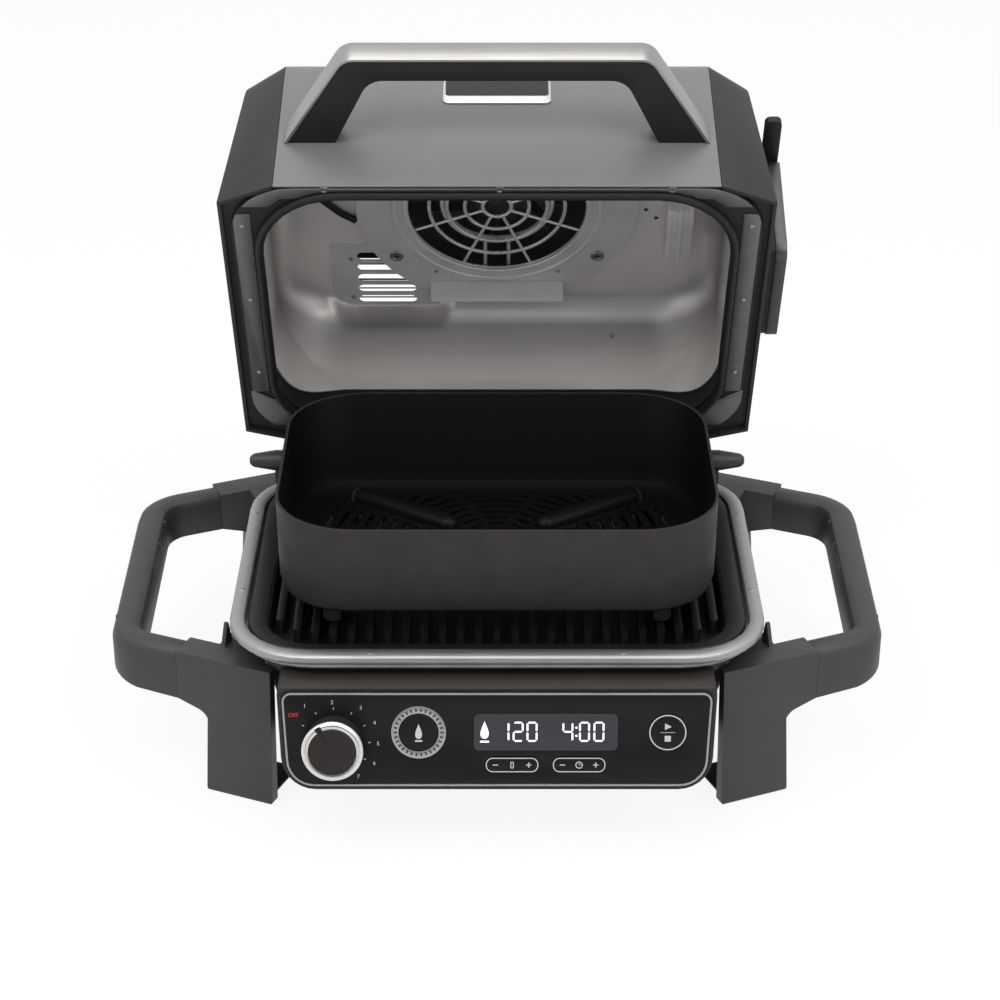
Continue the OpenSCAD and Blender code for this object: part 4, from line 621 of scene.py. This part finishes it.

# %% [markdown]
# The mode knob turns over a dial: short strokes every thirty degrees and a plain number at each place,
# with the off place in red. Each sign is placed one by one, with the wide OFF further out than the numbers.

# %% Dial
TICK_IN, TICK_OUT, TICK_W = 25.6, 27.4, 0.55
SIGN_H = 4.4
DIAL_SIGNS = {"1": (-21.5, 28.6), "2": (-1, 31.4), "3": (20.4, 27.2), "4": (30.5, 15.4), "5": (33, -1),
              "6": (30, -16.5), "7": (17.9, -27)}
OFF_AT = (-30.2, 21.3)
ticks = spokes(range(-60, 151, 30), TICK_IN, TICK_OUT, TICK_W)
signs = [s for text, at in DIAL_SIGNS.items() for s in shifted(letters(text, SIGN_H), *at)]
printed("dial_marks", dash, shifted(ticks + signs, *KNOB_AT), FASCIA_FACE, "ink", "base", "gloss_black")
off = shifted(letters("OFF", SIGN_H), *OFF_AT)
printed("dial_off", dash, shifted(off, *KNOB_AT), FASCIA_FACE, "red_ink", "base", "gloss_black")

# %% [markdown]
# A dark inlay on the knob points at the chosen place. It is a wedge on the knob's face, and a small block
# that fills the notch in the silver ring, and both ride on the knob. A shader could colour them, but
# slabs have crisp edges from any distance.

# %% Knob pointer
KNOB_FACE, KNOB_RING_FACE = 25.3, 24.8
NOTCH_SINK, NOTCH_T = 0.4, 0.5
POINTER_TURN = math.radians(120)
WEDGE = [(17, -2.2), (17, 2.2), (7, 0.8), (7, -0.8)]
NOTCH = [(18.1, -2.5), (21.6, -2.6), (21.6, 2.6), (18.1, 2.5)]

def pointed(shape):
    """Turns an outline of (distance from the axis, distance across) to the pointer's direction."""
    c, s = math.cos(POINTER_TURN), math.sin(POINTER_TURN)
    return [(KNOB_AT[0] + r * c - w * s, KNOB_AT[1] + r * s + w * c) for r, w in shape]

notch_at = KNOB_RING_FACE - NOTCH_SINK
printed("knob_wedge", dash, [pointed(WEDGE)], KNOB_FACE, "rubber", "knob", "body_plastic")
printed("knob_notch", dash, [pointed(NOTCH)], notch_at, "rubber", "knob", "body_plastic", NOTCH_T)

# %% [markdown]
# Dots, pills and discs come up again and again from here on. Both outlines follow arcs by a formula, so
# their number of points can be chosen for their size.

# %% Round outlines
def circle(r, n=64):
    return [(r * math.cos(2 * math.pi * i / n), r * math.sin(2 * math.pi * i / n)) for i in range(n)]

def rounded(w, h, r, n=8):
    """Rectangle with round corners about the origin."""
    x, y = w / 2 - r, h / 2 - r
    spots = [(x, y, 0), (-x, y, 90), (-x, -y, 180), (x, -y, 270)]
    return [(cx + r * math.cos(math.radians(a + 90 * i / n)), cy + r * math.sin(math.radians(a + 90 * i / n)))
            for cx, cy, a in spots for i in range(n + 1)]

print("a circle has", len(circle(1)), "points and a pill", len(rounded(4, 2, 1)))

# %% [markdown]
# The display writes its numbers in seven lit segments. A font could be shaped like that, but each segment
# is only a bar with mitred ends, and a table of which segments a digit lights builds every number.

# %% Lit segments
DIGIT_W, DIGIT_H, STROKE, SEGMENT_GAP = 6.8, 14.4, 1.4, 0.35
DIGIT_UP = 41.5
SEGMENTS = {"0": "abcdef", "1": "bc", "2": "abged", "4": "fgbc"}

def digit(d, x):
    """The lit segments of one digit, each a bar with two tips."""
    w, h, t = DIGIT_W / 2, DIGIT_H / 2, STROKE / 2
    ends = {"a": (-w, h, w, h), "b": (w, h, w, 0), "c": (w, 0, w, -h), "d": (-w, -h, w, -h),
            "e": (-w, 0, -w, -h), "f": (-w, h, -w, 0), "g": (-w, 0, w, 0)}
    shapes = []
    for s in SEGMENTS[d]:
        x0, y0, x1, y1 = ends[s]
        along = Vector((x1 - x0, y1 - y0)).normalized()
        across = Vector((-along.y, along.x)) * t
        p, q = Vector((x0, y0)) + along * SEGMENT_GAP, Vector((x1, y1)) - along * SEGMENT_GAP
        tips = [p, p + along * t + across, q - along * t + across,
                q, q - along * t - across, p + along * t - across]
        shapes.append([(v.x, v.y) for v in tips])
    return shifted(shapes, x, DIGIT_UP)

print("digits that can be lit:", " ".join(SEGMENTS))

# %% [markdown]
# It shows a heat, a time and a small flame over coals. The flame is a teardrop from one formula, a sine
# that thins out towards the top, so it needs no drawing and can be used again at another size.

# %% Display
DISPLAY_FACE = 2.7
DIGIT_PLACES = [("1", 5.2), ("2", 15.8), ("0", 26.2), ("4", 53), ("0", 65.4), ("0", 76.2)]
COLON_X, COLON_R, COLON_RISE = 59.3, 0.9, 3.2
FLAME, FLAME_RISE = (9, 14), 1.5
COALS, COALS_DROP = (7, 1.5, 0.7), 7.8
FIRE_X = -9.3

def flame(w, h, n=24):
    """Teardrop outline, sharp at the top."""
    turns = [2 * math.pi * i / n for i in range(n)]
    return [(w / 2 * math.sin(t) * math.sin(t / 2) ** 1.6, h / 2 * math.cos(t)) for t in turns]

def fire(size, rise, coals, drop):
    """A flame over a bar of coals, about the origin."""
    return shifted([flame(*size)], 0, rise) + shifted([rounded(*coals)], 0, -drop)

numbers = [s for d, x in DIGIT_PLACES for s in digit(d, x)]
dot = [circle(COLON_R, 12)]
colon = shifted(dot, COLON_X, DIGIT_UP + COLON_RISE) + shifted(dot, COLON_X, DIGIT_UP - COLON_RISE)
lit = shifted(fire(FLAME, FLAME_RISE, COALS, COALS_DROP), FIRE_X, DIGIT_UP)
printed("display_numbers", dash, numbers + colon + lit, DISPLAY_FACE, "lit", "base", "window")

# %% [markdown]
# The keys are flush with the glossy fascia, so only a thin printed outline and plain signs show where to
# press. Each print rides on its own key and moves with it when the key is pressed or rocked.

# %% Keys
KEY_FACE = 3.2
KEY_W, KEY_H, KEY_R = 39.4, 11.4, 5.2
LINE_W = 0.75
KEY_UP, TEMP_X, TIME_X = 15.4, 11.3, 61.6
PLUS_X, PLUS_HALF, PLUS_W, PLUS_CORE = 12.5, 2, 0.8, 0.41

def band(outer, inner):
    """Quads between two closed outlines with as many points."""
    n = len(outer)
    return [[outer[i], outer[(i + 1) % n], inner[(i + 1) % n], inner[i]] for i in range(n)]

def rocker_print(name, x, body):
    """Outline of a rocker with a minus at its left, a plus at its right and a picture between them."""
    inner = rounded(KEY_W - 2 * LINE_W, KEY_H - 2 * LINE_W, KEY_R - LINE_W)
    line = band(rounded(KEY_W, KEY_H, KEY_R), inner)
    signs = [bar(side * PLUS_X - PLUS_HALF, 0, side * PLUS_X + PLUS_HALF, 0, PLUS_W) for side in (-1, 1)]
    signs += [bar(PLUS_X, side * PLUS_CORE, PLUS_X, side * PLUS_HALF, PLUS_W) for side in (1, -1)]
    shapes = shifted(line + signs + PICTURES[name], x, KEY_UP)
    return printed(name, dash, shapes, KEY_FACE, "ink", body, "gloss_black")

PICTURES = {
    "temp_print": band(rounded(2.6, 5.6, 1.29), rounded(1.2, 4.2, 0.59)),
    "time_print": band(circle(2.8, 32), circle(2.1, 32)) + [bar(0, 0, 0, 1.7, 0.5), bar(0.3, 0, 1.5, 0, 0.5)],
}
rocker_print("temp_print", TEMP_X, "temp_rocker")
rocker_print("time_print", TIME_X, "time_rocker")

# %% [markdown]
# The round key at the right starts and stops the cooking. A triangle and a square say so everywhere, and
# a fine stroke parts them. Its outline is the same kind of band as that of the rockers.

# %% Start and stop key
START_AT, START_OUT, START_IN = (127.7, 41), 13.9, 13.0
PLAY = [(-2.2, 2.0), (2.8, 4.6), (-2.2, 7.2)]
PARTING_HALF, PARTING_W = 5.5, 0.35
STOP_SIDE, STOP_R, STOP_DROP = 4.6, 0.4, 4.8
start = band(circle(START_OUT), circle(START_IN))
start += [PLAY, bar(-PARTING_HALF, 0, PARTING_HALF, 0, PARTING_W)]
start += shifted([rounded(STOP_SIDE, STOP_SIDE, STOP_R)], 0, -STOP_DROP)
printed("start_stop_print", dash, shifted(start, *START_AT), KEY_FACE, "ink", "start_stop_button",
        "gloss_black")

# %% [markdown]
# The flavour button sits in a silver ring. Fine dark strokes run round the ring like the milled edge of a
# coin, and the button has a plain flame. The strokes come from the function that made the dial's, and the
# flame from the display's, so that all signs belong together.

# %% Flavour button
FLAVOUR_AT = (-58.6, 41)
EMBER, EMBER_RISE = (7.4, 12), 1
ASH, ASH_DROP = (5.6, 1.3, 0.6), 6.6
RING_FACE = 3.1
MILL_IN, MILL_OUT, MILL_W, MILL_STEP = 16.2, 18.8, 1.3, 12
strokes = spokes(range(0, 360, MILL_STEP), MILL_IN, MILL_OUT, MILL_W)
printed("flavour_ring_strokes", dash, shifted(strokes, *FLAVOUR_AT), RING_FACE, "dark_ink_and_shade", "base", "chrome")
sign = shifted(fire(EMBER, EMBER_RISE, ASH, ASH_DROP), *FLAVOUR_AT)
printed("flavour_print", dash, sign, KEY_FACE, "ink", "flavour_button", "gloss_black")

# %% [markdown]
# A small plate stands on the lid's front. Its border and lower strip are silver, and the field above is
# dark and bare. The field is a print again, because a pressed one would be too shallow to see.

# %% Badge field
BADGE_UP, BADGE_T = 126, 1.2
FIELD_W, FIELD_H, FIELD_R, FIELD_RISE = 82, 22, 3, 4
field = shifted([rounded(FIELD_W, FIELD_H, FIELD_R)], 0, BADGE_UP + FIELD_RISE)
printed("badge_field", front, field, BADGE_T, "dark_ink_and_shade", "lid", "lid_paint")

# %% [markdown]
# Inside the lid, the steel liner is one deep pressing. Its walls turn into the ceiling on a round that is
# small at the front and sides and very large at the rear, and the ceiling is pressed up once more over
# the exhaust vent. Bevels can't give one round that changes its radius, so the pressing is lofted: one
# outline is drawn again and again, further in and higher up along a quarter turn, with more of the large
# round the closer a point is to the rear.

# %% Liner outline
MOUTH_HALF, MOUTH_FRONT, MOUTH_REAR, MOUTH_R = 189, 20, 302, 62
CEILING, FRAME_Z = 125, 5.5
CUT_Y, CUT_SLOPE = 60, math.tan(math.radians(9.3))
SIDE_ROUND = 24
REAR_START, REAR_PULL, REAR_END = (0, 52), (15, CEILING), (42, CEILING)
CORNER_DROP = 11
CORNER_STEPS, REAR_STEPS, TURN_STEPS = 20, 60, 24

def rear_round(t):
    """Distance in from the mouth and height along the rear's large round, pulled towards one point."""
    a, b, c = (1 - t) ** 2, 2 * t * (1 - t), t * t
    return [a * p + b * q + c * r for p, q, r in zip(REAR_START, REAR_PULL, REAR_END)]

def liner_outline(side_in, rear_in, z):
    """Points of (x, y, share of the rear round), from the front right corner round to the front left."""
    half, rear, r = MOUTH_HALF - side_in, MOUTH_REAR - rear_in, MOUTH_R - side_in
    near = MOUTH_FRONT + side_in + (z - FRAME_Z) * math.tan(LEAN)
    pts = []
    for cx, cy, a, rear_part in ((half - r, near + r, -90, 0), (half - r, rear - r, 0, 1)):
        for i in range(CORNER_STEPS + 1):
            t = i / CORNER_STEPS
            b = math.radians(a + 90 * t)
            pts.append((cx + r * math.cos(b), cy + r * math.sin(b), rear_part * t * t * (3 - 2 * t)))
    x0 = half - r
    middle = [(x0 - 2 * x0 * i / REAR_STEPS, rear, 1) for i in range(1, REAR_STEPS)]
    return pts + middle + [(-x, y, w) for x, y, w in reversed(pts)]

def mouth_height(y, w):
    """Height of the liner's edge, which follows the frame's slanted cut and dips in the rear corners."""
    return FRAME_Z + max(1, (y - CUT_Y) * CUT_SLOPE) - CORNER_DROP * 4 * w * (1 - w)

print("liner outline of", len(liner_outline(0, 0, FRAME_Z)), "points")

# %% [markdown]
# Over the vent the round gives way to a flat pressing with round corners and a soft edge. A sculpted
# patch could do it, but a formula holds for any number of points: the distance to a round rectangle,
# turned into a smooth step.

# %% Vent pressing
VENT_MID, VENT_HALF, VENT_R, VENT_BLEND = (-90.5, 242), (57.5, 45), 26, 6

def vent_press(x, y):
    """How far the ceiling is pressed up over the vent, from 0 outside to 1 inside."""
    dx = abs(x - VENT_MID[0]) - VENT_HALF[0] + VENT_R
    dy = abs(y - VENT_MID[1]) - VENT_HALF[1] + VENT_R
    edge = math.hypot(max(dx, 0), max(dy, 0)) + min(max(dx, dy), 0) - VENT_R
    t = min(max(-edge / VENT_BLEND, 0), 1)
    return t * t * (3 - 2 * t)

print("vent pressed up over", 2 * VENT_HALF[0], "by", 2 * VENT_HALF[1], "mm")

# %% [markdown]
# The slotted cover of the vent needs a hole in the sheet behind it. A Boolean modifier could cut it, but
# works badly on an open sheet. So the mesh is cut along four planes and the faces between them are
# deleted, which keeps the sides straight whatever the mesh around them does.

# %% Vent hole
VENT_HOLE, VENT_HOLE_HALF = (-95, 246.4), (26.5, 33.5)

def open_vent(mesh):
    """Cuts the sheet along the four sides of the vent's hole and deletes the faces inside."""
    bm = bmesh.new()
    bm.from_mesh(mesh)
    along = [(lid(1, 0, 0) - lid(0, 0, 0)).normalized(), (lid(0, 1, 0) - lid(0, 0, 0)).normalized()]
    middle = lid(*VENT_HOLE, CEILING)
    for axis, half in zip(along, VENT_HOLE_HALF):
        for side in (-1, 1):
            everything = list(bm.verts) + list(bm.edges) + list(bm.faces)
            at = middle + axis * side * half * MM
            bmesh.ops.bisect_plane(bm, geom=everything, plane_co=at, plane_no=axis)
    hole = []
    for f in bm.faces:
        far = [abs((f.calc_center_median() - middle).dot(axis)) / MM for axis in along]
        if far[0] < VENT_HOLE_HALF[0] and far[1] < VENT_HOLE_HALF[1]:
            hole.append(f)
    bmesh.ops.delete(bm, geom=hole, context="FACES")
    bm.to_mesh(mesh)
    bm.free()
    print("vent hole cut through", len(hole), "faces")

print("vent hole of", 2 * VENT_HOLE_HALF[0], "by", 2 * VENT_HOLE_HALF[1], "mm")

# %% [markdown]
# The pressing itself is one loft: the mouth's edge, then the outline again and again round the quarter
# turn, and last the round hole for the fan. A Solidify modifier gives the sheet its thickness, on the
# outside.

# %% Liner pressing
FAN_Y, FAN_HOLE_R = 156.879, 79.5
LINER_SHEET = 1.2

def strip(k, n):
    """Quads between ring k and the next one, of n points each."""
    return [[k * n + i, k * n + (i + 1) % n, (k + 1) * n + (i + 1) % n, (k + 1) * n + i] for i in range(n)]

rings = [[(x, y, mouth_height(y, w)) for x, y, w in liner_outline(0, 0, FRAME_Z)]]
for k in range(TURN_STEPS + 1):
    turn = math.pi / 2 * k / TURN_STEPS
    side_in = SIDE_ROUND * (1 - math.cos(turn))
    side_z = CEILING - SIDE_ROUND * (1 - math.sin(turn))
    rear_in, rear_z = rear_round(k / TURN_STEPS)
    ring = []
    for x, y, w in liner_outline(side_in, rear_in, side_z):
        z = side_z + (rear_z - side_z) * w
        ring.append((x, y, z + (CEILING - z) * vent_press(x, y)))
    rings.append(ring)
hole = []
for x, y, z in rings[-1]:
    d = Vector((x, y - FAN_Y)).normalized() * FAN_HOLE_R
    hole.append((d.x, FAN_Y + d.y, CEILING))
rings.append(hole)
n = len(hole)
faces = [f for k in range(len(rings) - 1) for f in strip(k, n)]
pressing = piece("liner_pressing", [lid(*p) for ring in rings for p in ring], faces, "liner", "lid", "steel")
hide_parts("lid_liner")
open_vent(pressing.data)
wall = pressing.modifiers.new("sheet", "SOLIDIFY")
wall.thickness, wall.offset = LINER_SHEET * MM, 1
soften(pressing, 0)
print("liner pressing of", len(faces), "faces")

# %% [markdown]
# Two cross-head screws show on the fan plate, and three more on the front edge of the lid. Their heads
# are turned: a short profile is swept round an axis, which gives the rolled rim and the dished middle.
# The cross is not cut: it is painted shade, dark bars in the dish in place of a shaded recess.

# %% Screw heads
def turned(place, at, profile, n=28):
    """Points and faces of a profile of (radius, height) swept round a frame's own Z at a point."""
    verts, faces = [], []
    turns = [2 * math.pi * i / n for i in range(n)]
    for r, h in profile:
        verts += [place(at[0] + r * math.cos(t), at[1] + r * math.sin(t), at[2] + h) for t in turns]
    for k in range(len(profile) - 1):
        faces += strip(k, n)
    last = (len(profile) - 1) * n
    return verts, faces + [list(range(n)), list(range(last, last + n))]

def heads(name, place, spots, r, drop, mat, body, slot):
    """Dished screw heads that stand below a face by a drop, and their crosses in painted shade."""
    verts, faces = [], []
    profile = [(r, 0), (r, -0.5 * drop), (0.88 * r, -drop), (0.62 * r, -drop), (0.52 * r, -0.55 * drop),
               (0.1, -0.5 * drop)]
    for at in spots:
        v, f = turned(place, at, profile)
        faces += [[i + len(verts) for i in face] for face in f]
        verts += v
    head = piece(name, verts, faces, mat, body, slot)
    soften(head, 0)
    # The crosses are painted shade: dark bars that stand in for the shade of a cut recess.
    arm, wide, core = 0.42 * r, 0.16 * r, 0.09 * r
    cross = [bar(-arm, 0, arm, 0, wide), bar(0, core, 0, arm, wide), bar(0, -core, 0, -arm, wide)]
    cross = [s for x, y, z in spots for s in shifted(cross, x, y)]
    printed(name + "_cross_shade", place, cross, spots[0][2] - 0.62 * drop, "dark_ink_and_shade", body, slot)

FAN_PLATE_Z = 120.8
BOLT_X, BOLT_Y, BOLT_R, BOLT_DROP = 85.6, 214.5, 6.0, 1.8
EDGE_XS, EDGE_Y, EDGE_R, EDGE_DROP = (-132, 2, 134), 12.6, 3.4, 1.4
bolts = [(x, BOLT_Y, FAN_PLATE_Z) for x in (-BOLT_X, BOLT_X)]
heads("fan_plate_bolts", lid, bolts, BOLT_R, BOLT_DROP, "strap", "lid", "steel")
edge_screws = [(x, EDGE_Y, FRAME_Z) for x in EDGE_XS]
heads("front_rivets", lid, edge_screws, EDGE_R, EDGE_DROP, "strap", "lid", "steel")

# %% [markdown]
# A few more fixings show on the steel: dark screws that hold the duct to the ceiling, and a bright rivet
# on the rear wall. The dark ones are so small that flat discs do, and the rivet is a turned ball, half
# sunk in the wall.

# %% Duct screws and rivet
DUCT_SPOTS = [(131, 146), (125, 162), (147, 143), (134, 172)]
DUCT_SCREW_R, DUCT_SCREW_DROP = 1.9, 0.3
BALL_R, BALL_X, BALL_SHARE, POLE_R = 2.2, 100, 0.36, 0.02
duct_screws = [s for x, y in DUCT_SPOTS for s in shifted([circle(DUCT_SCREW_R, 16)], x, y)]
printed("duct_screws", lid, duct_screws, CEILING - DUCT_SCREW_DROP, "dark_ink_and_shade", "lid", "dark_steel")
turns = [math.radians(a) for a in range(0, 181, 20)]
ball = [(max(BALL_R * math.sin(t), POLE_R), BALL_R * math.cos(t)) for t in turns]
rear_in, rear_z = rear_round(BALL_SHARE)
ball_at = (BALL_X, MOUTH_REAR - rear_in, rear_z)
rivet = piece("wall_rivet", *turned(lid, ball_at, ball, 16), "strap", "lid", "steel")
soften(rivet, 0)
print("rivet at height", round(rear_z))

# %% [markdown]
# The crisper basket is a deep-drawn pan with walls that stand nearly upright and a tight round at the
# foot. Its solid leans more. So a copy of the solid's mesh stands for it, widened level by level: each
# height has an old and a new distance in from the rim, and a point moves outwards as the half width grows
# there.

# %% Crisper basket
RIM_HALF = 170
LEVELS = [(6, 26, 17), (8, 19, 10), (13, 13.5, 4.5), (23, 10, 1), (88, 0, 0)]
HOB_TOP = hob(0, 0, 0).z

def widened(x, z):
    """New x of a point at a height in millimetres over the hob's top."""
    z = min(max(z, LEVELS[0][0]), LEVELS[-1][0])
    for (z0, old0, new0), (z1, old1, new1) in zip(LEVELS, LEVELS[1:]):
        if z <= z1:
            t = (z - z0) / (z1 - z0)
            return x * (RIM_HALF - new0 - t * (new1 - new0)) / (RIM_HALF - old0 - t * (old1 - old0))

pan = bpy.data.objects.new("crisper_pan", NODES["crisper_basket"].data.copy())
for v in pan.data.vertices:
    v.co.x = widened(v.co.x, (v.co.z - HOB_TOP) / MM)
bpy.context.scene.collection.objects.link(pan)
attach(pan, "crisper_basket")
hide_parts("crisper_basket")
soften(pan, EDGES_MM["crisper_basket"])
print("pan of", len(pan.data.vertices), "points")

# %% [markdown]
# A short black hose leads from the front corner of the liner to the fan plate. A curve with a round bevel
# is the plain way to make a hose: four points give its path, and the bevel its thickness.

# %% Hose
HOSE_R = 3.0
HOSE_PATH = [(-152, 140, 121.5), (-142, 150, 121), (-131, 162, 121), (-119, 171.5, 121.5)]
c = bpy.data.curves.new("fan_hose", "CURVE")
c.dimensions, c.bevel_depth, c.bevel_resolution, c.use_fill_caps = "3D", HOSE_R * MM, 4, True
path = c.splines.new("BEZIER")
path.bezier_points.add(len(HOSE_PATH) - 1)
for knot, p in zip(path.bezier_points, HOSE_PATH):
    knot.co = lid(*p)
    knot.handle_left_type = knot.handle_right_type = "AUTO"
hose = bpy.data.objects.new("fan_hose", c)
bpy.context.scene.collection.objects.link(hose)
wear(hose, "rubber")
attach(hose, "lid")
print("hose of", len(HOSE_PATH), "points")

# %% [markdown]
# Six small welds show on the trim ring, where it is fixed to the pot below. A cut would have to open the
# ring's mesh, so each is a low turned dome that rests on it and catches the light.

# %% Ring dimples
DIMPLE = [(2.6, -0.05), (2.2, 0.18), (1.3, 0.32), (0.1, 0.36)]
RING_SPOTS = [(-95, 16), (95, 16), (-200, 113), (200, 113), (-200, 242), (200, 242)]
verts, faces = [], []
for x, y in RING_SPOTS:
    v, f = turned(hob, (x, y, 0), DIMPLE, 20)
    faces += [[i + len(verts) for i in face] for face in f]
    verts += v
dimples = piece("ring_dimples", verts, faces, "ring", "base", "steel")
soften(dimples, 0)
print(len(RING_SPOTS), "dimples")
